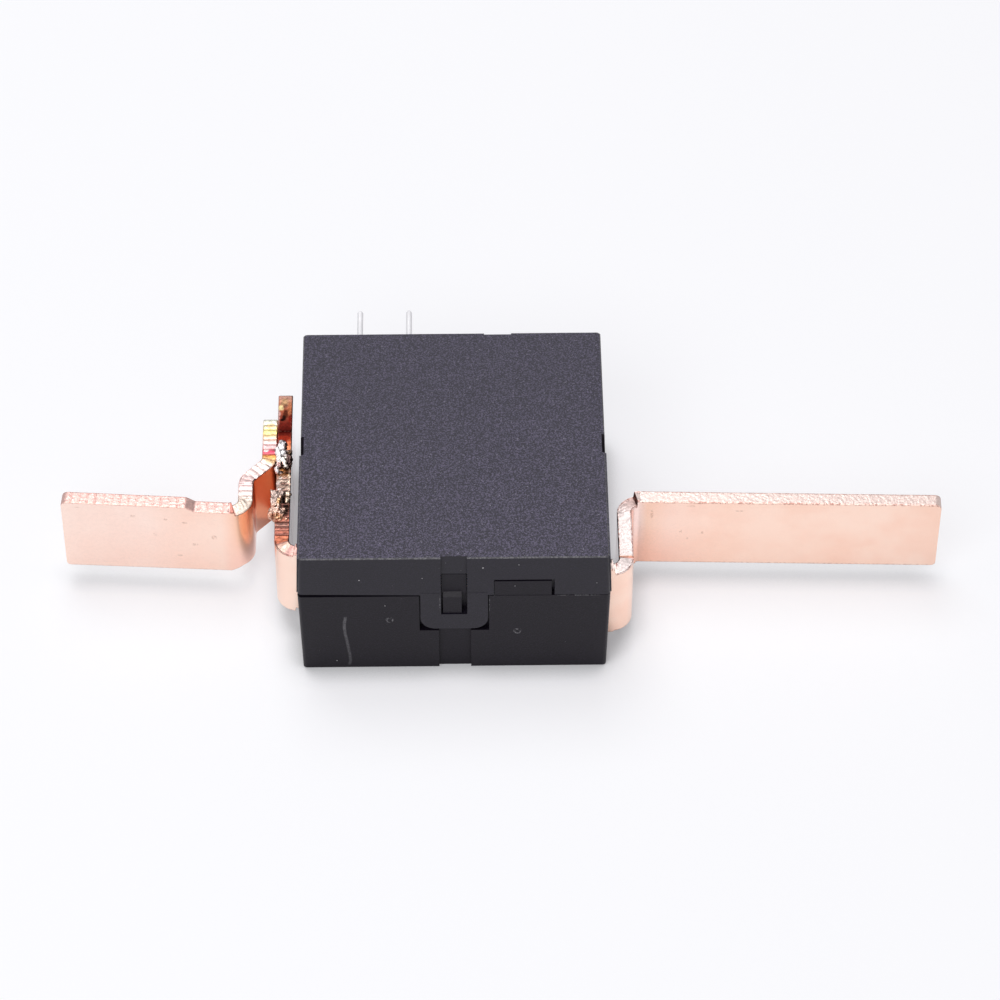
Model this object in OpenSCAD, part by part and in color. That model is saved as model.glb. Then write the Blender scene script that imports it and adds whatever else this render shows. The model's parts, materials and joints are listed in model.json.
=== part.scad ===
// Latching power relay for an energy meter: a two-shell moulded case, two bent copper
// load bars, a welded measuring shunt, and a bistable motor that drives a contact pair.
// The origin is the centre of the case's underside. X runs right, Y to the back, Z up.
// All sizes are millimetres. The contacts are closed as drawn.

/* [Case] */
// Width of the case at the seam
case_w = 31; // [30.5:0.5:36]
// Depth of the case at the seam, front to back
case_d = 31.5; // [31:0.5:36]
// Height of the base, from the underside to the seam
base_h = 11.1; // [10.9:0.1:12.5]
// Height of the cover, from the seam to the top
cover_h = 5.4; // [5.2:0.1:7]
// Thickness of the side walls
wall = 1.2; // [1.1:0.1:1.5]
// Thickness of the floor
floor_t = 1.2; // [1:0.1:1.4]
// Thickness of the roof
roof_t = 1.2; // [1:0.1:1.3]
// Radius of the upright corners
corner_r = 0.4; // [0.2:0.1:0.8]
// Bevel along the lowest and the highest edges
edge_r = 0.12; // [0.05:0.01:0.2]
// Mould draft: how far the foot of the base stands in from the seam
base_draft = 0.23; // [0.1:0.01:0.3]
// Mould draft: how far the top of the cover stands in from the seam
cover_draft = 0.2; // [0.1:0.01:0.3]
// How much prouder the front half of the cover's sides stands
side_pad_t = 0.1; // [0.05:0.01:0.15]

/* [Seam] */
// Opening of the seam at the left end
seam_gap_left = 0.38; // [0.1:0.01:0.5]
// Opening of the seam beside the tongue
seam_gap_mid = 0.14; // [0.05:0.01:0.2]
// Opening of the seam at the right end
seam_gap_right = 0.06; // [0.02:0.01:0.2]
// Height of the inner lip above the seam
lip_h = 1; // [0.6:0.1:1.2]
// Thickness of the inner lip
lip_t = 0.5; // [0.4:0.05:0.55]

/* [Front latch] */
// Gap below the cover's tongue
tongue_drop = 0.4; // [0.2:0.05:0.6]
// Width of the cover's tongue
tongue_w = 6.7; // [5.5:0.1:7]
// Height of the tongue below the seam
tongue_h = 4.9; // [4.2:0.1:5.2]
// Thickness of the tongue
tongue_t = 0.75; // [0.6:0.05:0.8]
// Radius of the tongue's lower corners
tongue_r = 1.5; // [0.8:0.1:1.8]
// Width of the latch channel and window in the cover
window_w = 2.6; // [2.3:0.1:3]
// Depth of the upper part of the latch channel
channel_t = 0.27; // [0.2:0.01:0.35]
// How far the base's latch block stands back in the window
ledge_t = 0.55; // [0.45:0.05:0.6]
// Drop from the top of the cover to the channel's lower end, where the window starts
ledge_drop = 2.6; // [2.2:0.1:2.9]
// Height of the latch window below the seam
window_h = 2.75; // [2.4:0.05:3]
// Gap above the latch block in the window
block_gap = 0.16; // [0.05:0.01:0.25]
// Width of the base's latch hook
hook_w = 1.85; // [1.5:0.05:2]
// How far the hook stands left of the window's middle
hook_shift = 0.18; // [0:0.02:0.2]
// Width of the groove in the base below the latch
groove_w = 3.2; // [2.6:0.1:3.6]
// Depth of that groove
groove_t = 0.38; // [0.2:0.01:0.45]
// Left end of the base's cover tab, from the middle
tab_x = 4; // [3.9:0.1:5]
// Width of the tab
tab_w = 5.65; // [4:0.05:6]
// Height of the tab above the seam
tab_h = 2.1; // [1.4:0.1:2.3]
// Thickness of the tab
tab_t = 0.6; // [0.5:0.05:0.7]
// Gap above the tab in the cover's cut-out
tab_gap_top = 0.16; // [0.05:0.01:0.25]
// Gap to the right of the tab
tab_gap_side = 0.3; // [0.1:0.05:0.4]

/* [Cover notches] */
// Distance of the side notches behind the front face
side_notch_y = 14.25; // [12:0.25:17]
// Length of the side notches
side_notch_l = 2.5; // [1.5:0.1:3.5]
// Depth of the side notches
side_notch_t = 0.42; // [0.2:0.01:0.5]
// Height of the side notches below the top
side_notch_h = 3.1; // [2:0.1:3.4]
// Left end of the notch in the cover's back edge
back_notch_x = 3.3; // [1:0.1:6]
// Width of that notch
back_notch_w = 2.8; // [2:0.1:4]
// Depth of that notch
back_notch_t = 0.27; // [0.15:0.01:0.35]

/* [Copper strips] */
// Thickness of every copper strip
strip_t = 1.5; // [1.3:0.1:1.7]
// Inner radius of the bends
bend_r = 0.8; // [0.6:0.1:1]
// How far the full height of a stub or arm reaches past a face
stub_out = 0.45; // [0.3:0.05:0.6]
// Overhang of the fixed terminal's plate past its contacts
plate_over = 0.6; // [0.4:0.1:1]
// Gap between the case and the strips that run beside it
side_gap = 1; // [0.8:0.1:1.3]

/* [Right terminal] */
// Distance of the stub's front face behind the front of the case
right_front = 3.25; // [2.8:0.05:3.4]
// Lowest height of the stub
right_stub_lo = 1.6; // [1.5:0.05:2]
// Drop from the stub's top to the top of the bend and run
right_run_drop = 0.75; // [0.3:0.05:1]
// Lift of the bend and run's lower edge over the stub's
right_run_lift = 0.15; // [0:0.05:0.5]
// Distance of the arm's front face behind the front of the case
right_arm_front = 12.45; // [11:0.05:16]
// Lowest height of the arm
right_arm_lo = 2; // [1.6:0.05:3]
// Height of the arm
right_arm_h = 9.1; // [7:0.1:10]
// Reach of the arm's end from the middle of the case
right_reach = 49.35; // [30:0.05:60]
// Skew of the arm: its end stands nearer the front
right_skew = 1.7; // [0:0.1:4]
// Upper corner radius at the arm's end
arm_r_hi = 0.65; // [0.3:0.05:1.5]
// Lower corner radius at the arm's end
arm_r_lo = 0.5; // [0.3:0.05:1.5]

/* [Left terminal and shunt] */
// Distance of the stub's front face behind the front of the case
left_front = 5.7; // [5.6:0.05:6]
// Lowest height of the stub
left_stub_lo = 2.9; // [2.5:0.05:3.2]
// Lowest height of the bend and the strip
left_run_lo = 2.45; // [2:0.05:3]
// Drop from the stub's top to the top of the strip
left_run_drop = 0.25; // [0:0.05:0.6]
// Distance of the strip's back end behind the front of the case
left_run_end = 28.1; // [27:0.1:30]
// Corner radius at the strip's back end
tail_r = 0.2; // [0.1:0.05:1.5]
// Distance of the front weld behind the front of the case
front_weld = 12.9; // [11.5:0.1:13.5]
// Length of the shunt between its welds
shunt_l = 7.2; // [6.5:0.1:8]
// Drop of the shunt's upper edge below the copper
shunt_drop = 0.35; // [0:0.05:0.6]
// Width of the weld seams
seam_w = 1.1; // [0.8:0.1:1.4]
// How far the weld seams stand out
seam_t = 0.18; // [0.1:0.02:0.3]

/* [Left load bar] */
// Distance of the bar's back end behind the front of the case
bar_end = 24.7; // [24:0.1:27]
// Distance of the jog's start behind the front of the case
jog_start = 18.85; // [18.4:0.05:19.5]
// Length of the jog, front to back
jog_l = 2.5; // [2:0.1:3]
// Step of the jog away from the case
jog_w = 2.3; // [1.8:0.1:3]
// Lowest height of the arm next to its bend
bar_lo = 2.4; // [2:0.05:3]
// Lowest height of the arm at its end
bar_tip_lo = 2.2; // [1.8:0.05:3]
// Lowest height of the bar beside the strip
bar_run_lo = 2.9; // [2:0.05:3.2]
// Top of the bar beside the strip
bar_run_hi = 10.75; // [10:0.05:11]
// Top of the arm next to its bend
bar_arm_hi = 11.15; // [10.8:0.05:11.3]
// Top of the arm at its end
bar_tip_hi = 11.7; // [11.4:0.05:12.5]
// Distance of the arm's front face behind the front of the case
left_arm_front = 11.22; // [10:0.05:13]
// Reach of the arm's end from the middle of the case
left_reach = 39.6; // [32:0.1:50]
// Start of the slope up to the arm's high part, from the middle of the case
rise_x = 26.1; // [24.5:0.1:30]
// Length of that slope
rise_l = 0.9; // [0.3:0.1:2]
// Skew of the arm: its end stands further back
left_skew = 4.1; // [0:0.1:6]

/* [Inside of the case] */
// Thickness of the wall between the contacts and the motor
partition_t = 0.8; // [0.6:0.1:1]
// Room between the springs and that wall
spring_room = 2.3; // [2:0.1:2.4]
// Gap between that wall and the front yoke
motor_gap_front = 1.2; // [1:0.1:1.4]
// Gap behind the rear yoke
motor_gap_back = 0.8; // [0.6:0.1:1]
// Gap between the bobbin and the left wall
coil_gap = 1.8; // [1.6:0.1:2]

/* [Contacts and springs] */
// Distance of the contacts from the inside of the right wall
contact_in = 6.3; // [6:0.1:7]
// Distance between the upper and the lower contact
contact_pitch = 4; // [3.6:0.1:4.2]
// Radius of the contact heads
contact_r = 1.65; // [1.3:0.05:1.75]
// Radius of the contact shanks
shank_r = 0.7; // [0.5:0.05:0.8]
// Thickness of the fixed contact heads
fixed_head_t = 1.2; // [0.9:0.1:1.4]
// Play left between the closed contact faces
touch_gap = 0.03; // [0.02:0.01:0.05]
// Thickness of one spring leaf
leaf_t = 0.2; // [0.15:0.01:0.22]
// Height of the spring leaves
leaf_h = 7; // [6:0.1:7.4]
// Height of the leaves' driven ends
leaf_tip_h = 3; // [2:0.1:3.4]
// Height of the slot that splits the leaves into two fingers
leaf_slot_h = 0.5; // [0.3:0.1:0.6]
// Distance of the terminal plate's inner end from the inside of the left wall
plate_in = 8.3; // [7.6:0.1:9]
// Distance of the outer rivets from the inside of the left wall
outer_rivet_in = 2.6; // [2.5:0.1:2.9]
// Distance of the inner rivets from the terminal plate's inner end
inner_rivet_end = 1.9; // [1.8:0.1:2.2]
// Radius of the spring rivets' shanks
rivet_r = 0.75; // [0.6:0.05:0.9]
// Radius of the spring rivets' heads
rivet_head_r = 1.25; // [1:0.05:1.4]
// Thickness of the rivets' heads
rivet_head_t = 0.4; // [0.3:0.05:0.5]

/* [Coil and yokes] */
// Width of the bobbin's flanges
flange_w = 11; // [10.8:0.1:11.4]
// Thickness of the bobbin's flanges
flange_t = 1; // [0.8:0.1:1.2]
// Radius of the winding
winding_r = 5.1; // [4:0.1:5.3]
// Radius of the bobbin's tube
tube_r = 2.7; // [2.5:0.1:3]
// Radius of the iron core
core_r = 2; // [1.7:0.1:2.2]
// Radius of the core's riveted ends
core_end_r = 1.4; // [1:0.1:1.5]
// Thickness of the yokes
yoke_t = 1.5; // [1.3:0.1:1.6]
// Height of the yokes
yoke_h = 6; // [5:0.1:6.4]
// Gap between the pole tongues' ends and the armature's carrier
pole_clear = 1.05; // [0.8:0.05:1.4]
// Height of the motor's centre line above the floor
motor_lift = 5.8; // [5.75:0.05:5.9]
// Distance between the coil pins
pin_pitch = 5.08; // [4.6:0.02:5.4]
// Radius of the coil pins; inside the case they are square, and as wide
pin_r = 0.3; // [0.25:0.01:0.35]
// Length of the pins' inner ends, which hold the wire's wraps
pin_inner_l = 1.4; // [1.2:0.1:1.6]
// Length of the coil pins behind the case
pin_l = 5.3; // [3:0.1:8]
// Distance of the coil pins below the top of the case
pin_drop = 2.3; // [2.2:0.05:2.4]

/* [Armature and pusher] */
// Full swing of the armature
swing = 14; // [10:0.5:14]
// Gap between the armature plates' ends and the yokes
plate_end_gap = 1.2; // [1:0.1:1.6]
// Thickness of the armature plates
plate_t = 1; // [0.8:0.1:1.1]
// Air left between a plate and the pole that it rests against
pole_gap = 0.1; // [0.08:0.01:0.15]
// Length of the magnet along the plates
magnet_l = 4.5; // [3.5:0.1:5]
// Wall of the armature's plastic carrier around the plates
carrier_wall = 0.7; // [0.5:0.1:0.8]
// Radius of the trunnions
trunnion_r = 0.9; // [0.7:0.05:1]
// Wall of the bearings round the trunnions
boss_wall = 1.1; // [0.9:0.1:1.3]
// Gap between the carrier and each bearing
boss_play = 0.3; // [0.2:0.05:0.35]
// Radial play of the trunnions in their bearings
trunnion_play = 0.05; // [0.02:0.01:0.08]
// Distance from the pivot to the drive arm's tip
arm_reach = 6.4; // [6.2:0.1:6.6]
// Height of the drive arm
arm_h = 3; // [2.4:0.1:4]
// Radius of the drive arm's round tip
tip_r = 0.7; // [0.5:0.05:0.8]
// Width of the pusher card
card_w = 2.7; // [2.5:0.1:2.9]
// Height of the pusher card
card_h = 6; // [5:0.1:6.4]
// Play of the pusher card in its guides
card_play = 0.1; // [0.05:0.01:0.15]

/* [Hidden] */
$fn = 48;
eps = 0.01;
// How far a cut runs past the face that it opens
cut = 1;
// How deep a rib or lug is rooted in the wall that carries it
root = 0.1;
// Play between pieces that are assembled by hand
fit = 0.05;
// Space kept free beside the latch where the lip is broken
latch_margin = 0.3;
// Straight pieces that a strip's round bend is made of
bend_steps = 20;

total_h = base_h + cover_h;
ledge_z = total_h - ledge_drop;
half_w = case_w / 2;
half_d = case_d / 2;
front_y = -half_d;
in_x = half_w - wall;
in_y = half_d - wall;
roof_z = total_h - roof_t;
tongue_lo = base_h - tongue_h;
tab_r_x = tab_x + tab_w;
// The latch breaks the lip and its rebate between these two ends
lip_gap = [-tongue_w / 2 - latch_margin, tab_r_x + tab_gap_side + latch_margin];

run_x = half_w + side_gap;
bend_mid_r = bend_r + strip_t / 2;
right_y = front_y + right_front;
right_run_hi = base_h - right_run_drop;
right_run_lo = right_stub_lo + right_run_lift;
right_mid_x = run_x + strip_t / 2;
right_arm_y = front_y + right_arm_front + strip_t / 2;
left_y = front_y + left_front;
left_run_hi = base_h - left_run_drop;
left_mid_x = -run_x - strip_t / 2;
weld_1_y = front_y + front_weld;
weld_2_y = weld_1_y + shunt_l;
left_end_y = front_y + left_run_end;
lap_x = left_mid_x - strip_t;
bar_x = lap_x - jog_w;
left_arm_y = front_y + left_arm_front + strip_t / 2;

leaf_y = left_y + strip_t;
leaf_z = (left_stub_lo + base_h) / 2;
stack_t = 3 * leaf_t;
contact_x = in_x - contact_in;
fixed_back_y = right_y + strip_t;
// Radius of the contacts' riveted ends
contact_foot_r = 1.5 * shank_r;
moving_head_t = leaf_y - fixed_back_y - fixed_head_t - touch_gap;
plate_end_x = -in_x + plate_in;
rivet_x = [-in_x + outer_rivet_in, plate_end_x - inner_rivet_end];

card_x = [in_x - card_play - card_w, in_x - card_play];
card_mid = (card_x[0] + card_x[1]) / 2;
partition_y = leaf_y + stack_t + spring_room;
motor_z = floor_t + motor_lift;
motor_front = partition_y + partition_t + motor_gap_front;
motor_back = in_y - motor_gap_back;
motor_y = (motor_front + motor_back) / 2;
motor_half_l = (motor_back - motor_front) / 2 - yoke_t;
coil_x = -in_x + coil_gap + flange_w / 2;
flange_h = 2 * motor_lift - 2 * fit;
pin_z = total_h - pin_drop;
pin_x = [coil_x - pin_pitch / 2, coil_x + pin_pitch / 2];
pin_root_y = motor_back - yoke_t - flange_t - pin_inner_l;
pin_neck_y = half_d + fit;
// How far the block that holds the pins reaches past them to each side
pin_block_over = 1;
pin_block_z = [motor_z + flange_h / 2 - eps, pin_z + pin_r + 0.5];

pivot_x = card_mid - arm_reach;
rest_turn = -swing / 2;
plate_half_l = motor_half_l - plate_end_gap;
plate_in_x = (yoke_t / 2 + pole_gap + plate_half_l * sin(swing / 2)) / cos(swing / 2);
carrier_x = plate_in_x + plate_t + carrier_wall;
carrier_y = magnet_l / 2 + carrier_wall;
carrier_h = yoke_h + 2 * carrier_wall;
pole_l = motor_half_l - carrier_y - pole_clear;
boss_r = trunnion_r + boss_wall;
low_boss_z = motor_z - carrier_h / 2 - boss_play;
high_boss_z = motor_z + carrier_h / 2 + boss_play;
// Lower and upper ends of the trunnions
trunnion_z = [floor_t + boss_play, high_boss_z + 2.2];
card_rest_y = motor_y + arm_reach * sin(rest_turn);
// Front and back ends of the card's rail
rail_y = [left_y - 4 * fit, motor_y + 3];

plastic = [0.13, 0.13, 0.15];
copper = [0.93, 0.68, 0.56];
manganin = [0.50, 0.44, 0.38];
weld_metal = [0.74, 0.70, 0.66];
tin = [0.82, 0.83, 0.84];
iron = [0.62, 0.63, 0.66];
enamel = [0.72, 0.33, 0.16];
nylon = [0.88, 0.87, 0.82];
spring_metal = [0.86, 0.56, 0.38];
silver = [0.88, 0.88, 0.90];
ferrite = [0.20, 0.20, 0.22];

// A block between the low and the high end on each axis
module span(x, y, z) {
    translate([x[0], y[0], z[0]]) cube([x[1] - x[0], y[1] - y[0], z[1] - z[0]]);
}

// One level of a drafted shell: a thin plate with round corners, inset on every side
module corner_plate(inset, z) {
    for (sx = [-1, 1], sy = [-1, 1])
        translate([sx * (half_w - inset - corner_r), sy * (half_d - inset - corner_r), z])
            cylinder(r = corner_r, h = eps, $fn = 32);
}

// A strip on edge: its plan follows a centre line with one round bend at each corner.
// A station is a point of the centre line with the strip's heading there.
function heading(a, b) = atan2(b[1] - a[1], b[0] - a[0]);
function turned(a) = a > 180 ? a - 360 : a < -180 ? a + 360 : a;
function across(h) = [-sin(h), cos(h)];
function bend_stations(a, b, c) = let (
    h = heading(a, b),
    turn = turned(heading(b, c) - h),
    side = sign(turn),
    back = bend_mid_r * tan(abs(turn) / 2),
    start = b - back * [cos(h), sin(h)],
    centre = start + side * bend_mid_r * across(h)
) [for (k = [0 : bend_steps]) let (hk = h + turn * k / bend_steps)
    [centre - side * bend_mid_r * across(hk), hk]];
function stations(route) = let (n = len(route) - 1) concat(
    [[route[0], heading(route[0], route[1])]],
    [for (i = [1 : 1 : n - 1]) each bend_stations(route[i - 1], route[i], route[i + 1])],
    [[route[n], heading(route[n - 1], route[n])]]);

module strip_plan(route) {
    line = stations(route);
    last = len(line) - 1;
    linear_extrude(2 * total_h)
        polygon(concat(
            [for (s = line) s[0] + strip_t / 2 * across(s[1])],
            [for (i = [last : -1 : 0]) line[i][0] - strip_t / 2 * across(line[i][1])]));
}

// The strip's front view; each zone has its ends in X and in Z and laps over the next
module strip_view(zones) {
    for (z = zones) span(z[0] + [-eps, eps], [-2 * case_d, 2 * case_d], z[1]);
}

// Cuts that round the two corners of an arm's end, each given by its height and radius.
// The arm runs along +X up to x = 0.
module arm_corners(lo, hi) {
    arm_corner(hi[0], -1, hi[1]);
    arm_corner(lo[0], 1, lo[1]);
}

module arm_corner(z, up, r) {
    translate([-r, 0, z + up * r]) rotate([90, 0, 0])
        difference() {
            translate([0, up > 0 ? -r - cut : 0, -strip_t])
                cube([r + cut, r + cut, 2 * strip_t]);
            translate([0, 0, -strip_t - cut]) cylinder(r = r, h = 2 * (strip_t + cut));
        }
}

// A rivet along Y: a shank between two faces, with a flat head in front and behind
module rivet(x, z, y, r, head_front, head_back) {
    translate([x, y[0] - head_front[1], z]) rotate([-90, 0, 0])
        cylinder(r = head_front[0], h = head_front[1]);
    translate([x, y[0] - eps, z]) rotate([-90, 0, 0])
        cylinder(r = r, h = y[1] - y[0] + 2 * eps);
    translate([x, y[1], z]) rotate([-90, 0, 0])
        cylinder(r = head_back[0], h = head_back[1]);
}

module cross_hole(x, z, r) {
    translate([x, front_y, z]) rotate([-90, 0, 0]) cylinder(r = r, h = case_d);
}

// Moves a piece of the armature from its drawn place to the closed rest pose
module at_rest() {
    translate([pivot_x, motor_y, motor_z]) rotate(rest_turn) children();
}

module base_outline() {
    hull() {
        corner_plate(base_draft + edge_r, 0);
        corner_plate(base_draft, edge_r);
        corner_plate(0, base_h - eps);
    }
}

// The raised inner lip that centres the cover
module base_lip() {
    difference() {
        span([-in_x - lip_t, in_x + lip_t], [-in_y - lip_t, in_y + lip_t],
            [base_h - lip_t, base_h + lip_h]);
        span([-in_x, in_x], [-in_y, in_y], [0, total_h]);
        span(lip_gap, [-half_d, -in_y + cut], [base_h - cut, total_h]);
        base_slots();
    }
}

// The slots in the side walls that the two terminals pass through
module base_slots() {
    span([in_x - cut, half_w + cut], [right_y - fit, right_y + strip_t + fit],
        [right_stub_lo - fit, total_h]);
    span([-half_w - cut, -in_x + cut], [left_y - fit, left_y + strip_t + fit],
        [left_stub_lo - fit, total_h]);
}

// The hook that the cover's window snaps over, the block above it and the tab beside it
module base_latch() {
    block_x = window_w / 2 - fit;
    hook_x = [-hook_shift - hook_w / 2, -hook_shift + hook_w / 2];
    hook_lo = base_h - window_h + 1.5 * fit;
    notch_y = front_y + tongue_t + fit;
    slope = 0.3;
    face_y = front_y + 0.12;
    hull() {
        span(hook_x, [notch_y, notch_y + eps], [hook_lo, base_h + slope]);
        span(hook_x, [face_y, face_y + eps], [hook_lo, base_h - slope]);
    }
    span([-block_x, block_x], [front_y + ledge_t, -in_y],
        [base_h - root, ledge_z - block_gap]);
    span([tab_x, tab_r_x], [front_y + fit / 2, front_y + tab_t],
        [base_h - 5 * root, base_h + tab_h]);
}

// Blades that close the cover's pin slots from below
module pin_blades() {
    for (x = pin_x)
        span([x - pin_r - fit / 2, x + pin_r + fit / 2], [in_y + root, half_d - fit],
            [base_h - 5 * root, pin_z - pin_r - 2 * fit]);
}

module base_ribs() {
    foot = floor_t - root;
    guide = [0.8, 1.6, 1];
    // Rests under the two terminal plates
    span([contact_x - contact_r, in_x + root], [right_y, right_y + strip_t],
        [foot, right_stub_lo]);
    span([-in_x - root, plate_end_x], [left_y, left_y + strip_t], [foot, left_stub_lo]);
    // Wall between the contacts and the motor
    span([-in_x - root, card_x[0] - card_play], [partition_y, partition_y + partition_t],
        [foot, base_h - boss_play]);
    // Rests under the front and rear yokes
    for (y = [motor_front, motor_back - yoke_t])
        span([pivot_x - yoke_t, pivot_x + yoke_t], [y, y + yoke_t],
            [foot, motor_z - yoke_h / 2 - fit]);
    // Rail and inner guides of the pusher card
    span([card_x[0], in_x + root], rail_y, [foot, motor_z - card_h / 2 - fit]);
    for (y = [partition_y, rail_y[1] - guide[0]])
        span([card_x[0] - card_play - guide[0], card_x[0] - card_play],
            [y, y + guide[1]], [foot, motor_z + guide[2]]);
}

module base_bearing() {
    translate([pivot_x, motor_y, floor_t - root])
        cylinder(r = boss_r, h = low_boss_z - floor_t + root);
}

module base_housing() color(plastic) {
    notch_play = 0.12;
    notch_x = tongue_w / 2 + notch_play;
    groove_x = [-groove_w / 2, groove_w / 2] + [fit, fit];
    difference() {
        union() {
            difference() {
                base_outline();
                span([-in_x, in_x], [-in_y, in_y], [floor_t, total_h]);
                base_slots();
                // Notch that the cover's tongue drops into
                span([-notch_x, notch_x], [front_y - cut, front_y + tongue_t + fit],
                    [tongue_lo - tongue_drop, total_h]);
                // Groove below the latch
                span(groove_x, [front_y - cut, front_y + base_draft + groove_t],
                    [-cut, tongue_lo + tongue_drop / 2]);
            }
            base_lip();
            base_latch();
            base_ribs();
            base_bearing();
            pin_blades();
        }
        translate([pivot_x, motor_y, trunnion_z[0] - fit])
            cylinder(r = trunnion_r + trunnion_play, h = total_h);
    }
}

module cover_outline() {
    hull() {
        corner_plate(0, base_h);
        corner_plate(cover_draft, total_h - edge_r - eps);
        corner_plate(cover_draft + edge_r, total_h - eps);
    }
}

// The slightly prouder front halves of the cover's two sides
module side_pads() {
    low_x = half_w + side_pad_t;
    high_x = low_x - cover_draft;
    high_z = total_h - edge_r;
    y = [front_y + corner_r, front_y + side_notch_y];
    hull() {
        span([-low_x, low_x], y, [base_h, base_h + eps]);
        span([-high_x, high_x], y, [high_z - eps, high_z]);
    }
}

// Everything below the cover's uneven lower edge
module seam_cut() {
    translate([0, case_d, 0]) rotate([90, 0, 0]) linear_extrude(2 * case_d)
        polygon([[-case_w, 0], [-case_w, base_h + seam_gap_left],
            [-half_w, base_h + seam_gap_left], [-tongue_w / 2, base_h + seam_gap_mid],
            [half_w, base_h + seam_gap_right], [case_w, base_h + seam_gap_right],
            [case_w, 0]]);
}

module cover_tongue() {
    translate([0, front_y + tongue_t, 0]) rotate([90, 0, 0]) linear_extrude(tongue_t) {
        difference() {
            translate([-tongue_w / 2, tongue_lo])
                square([tongue_w, tongue_h + seam_gap_left + fit]);
            for (sx = [-1, 1])
                translate([sx * tongue_w / 2, tongue_lo])
                    square(2 * tongue_r, center = true);
        }
        for (sx = [-1, 1])
            translate([sx * (tongue_w / 2 - tongue_r), tongue_lo + tongue_r])
                circle(tongue_r);
    }
}

module cover_front_cuts() {
    w = window_w / 2;
    // Channel above the latch, and the latch window
    span([-w, w], [front_y - cut, front_y + cover_draft + channel_t],
        [ledge_z - eps, total_h + cut]);
    span([-w, w], [front_y - cut, cut - in_y], [base_h - window_h, ledge_z]);
    // Cut-out for the base's tab
    span([tab_x - fit, tab_r_x + tab_gap_side], [front_y - cut, front_y + tab_t + fit],
        [base_h - eps, base_h + tab_h + tab_gap_top]);
}

module cover_notches() {
    for (sx = [-1, 1])
        translate([sx * half_w, front_y + side_notch_y + side_notch_l / 2,
            total_h - side_notch_h / 2 + cut / 2])
            cube([2 * (side_notch_t + cover_draft / 2), side_notch_l, side_notch_h + cut],
                center = true);
    span([back_notch_x, back_notch_x + back_notch_w],
        [half_d - cover_draft - back_notch_t, half_d + cut], [base_h - cut, total_h + cut]);
}

module cover_pin_slots() {
    for (x = pin_x)
        span([x - pin_r - fit, x + pin_r + fit], [in_y - cut, half_d + cut],
            [base_h - cut, pin_z + pin_r + fit]);
}

// The cover's room, with the rebate for the lip, less what hangs from the roof
module cover_inside() {
    rib_w = 1;
    difference() {
        union() {
            span([-in_x, in_x], [-in_y, in_y], [base_h - cut, roof_z]);
            difference() {
                span([-in_x - lip_t - fit, in_x + lip_t + fit],
                    [-in_y - lip_t - fit, in_y + lip_t + fit],
                    [base_h - cut, base_h + lip_h + 3 * fit]);
                span(lip_gap + [root, -root], [-half_d, -in_y], [0, total_h]);
            }
        }
        // Upper bearing of the armature
        translate([pivot_x, motor_y, high_boss_z]) cylinder(r = boss_r, h = total_h);
        // Rib that keeps the pusher card down
        span([card_mid - rib_w / 2, card_mid + rib_w / 2], [left_y + cut, rail_y[1]],
            [motor_z + card_h / 2 + card_play, total_h]);
    }
}

module top_cover() color(plastic) {
    difference() {
        union() {
            difference() {
                union() {
                    cover_outline();
                    side_pads();
                }
                seam_cut();
                cover_inside();
            }
            cover_tongue();
        }
        cover_front_cuts();
        cover_notches();
        cover_pin_slots();
        translate([pivot_x, motor_y, high_boss_z - cut])
            cylinder(r = trunnion_r + trunnion_play,
                h = trunnion_z[1] + fit - high_boss_z + cut);
    }
}

// The right terminal: contact plate, stub, bend, run and arm, bent from one strip
module fixed_terminal() color(copper) {
    plate_x = contact_x - contact_r - plate_over;
    stub_x = half_w + stub_out;
    arm_x = right_mid_x + strip_t / 2 + stub_out;
    stub_mid = right_y + strip_t / 2;
    arm_dir = [cos(right_skew), -sin(right_skew)];
    arm_z = [right_arm_lo, right_arm_lo + right_arm_h];
    corner = [right_mid_x, right_arm_y];
    end = corner + (right_reach - right_mid_x) / arm_dir[0] * arm_dir;
    difference() {
        intersection() {
            strip_plan([[plate_x, stub_mid], [right_mid_x, stub_mid], corner, end]);
            strip_view([[[plate_x - cut, stub_x], [right_stub_lo, base_h]],
                [[stub_x, arm_x], [right_run_lo, right_run_hi]],
                [[arm_x, right_reach + cut], arm_z]]);
        }
        translate([end[0], end[1], 0]) rotate(-right_skew)
            arm_corners([arm_z[0], arm_r_lo], [arm_z[1], arm_r_hi]);
        for (side = [-1, 1])
            cross_hole(contact_x, leaf_z + side * contact_pitch / 2, shank_r);
    }
}

// The left terminal: spring plate, stub, bend and the first stretch of the side strip
module moving_terminal() color(copper) {
    stub_mid = left_y + strip_t / 2;
    stub_x = -half_w - stub_out;
    difference() {
        intersection() {
            strip_plan([[plate_end_x, stub_mid], [left_mid_x, stub_mid],
                [left_mid_x, weld_1_y]]);
            strip_view([[[stub_x, plate_end_x + cut], [left_stub_lo, base_h]],
                [[left_mid_x - strip_t, stub_x], [left_run_lo, left_run_hi]]]);
        }
        for (x = rivet_x, side = [-1, 1])
            cross_hole(x, leaf_z + side * contact_pitch / 2, rivet_r);
    }
}

module side_strip(y, z) {
    span([left_mid_x - strip_t / 2, left_mid_x + strip_t / 2], y, z);
}

module shunt_plate() color(manganin)
    side_strip([weld_1_y, weld_2_y], [left_run_lo, left_run_hi - shunt_drop]);

module shunt_tail() color(copper) {
    difference() {
        side_strip([weld_2_y, left_end_y], [left_run_lo, left_run_hi]);
        translate([left_mid_x, left_end_y, 0]) rotate(90)
            arm_corners([left_run_lo, tail_r], [left_run_hi, tail_r]);
    }
}

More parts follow.
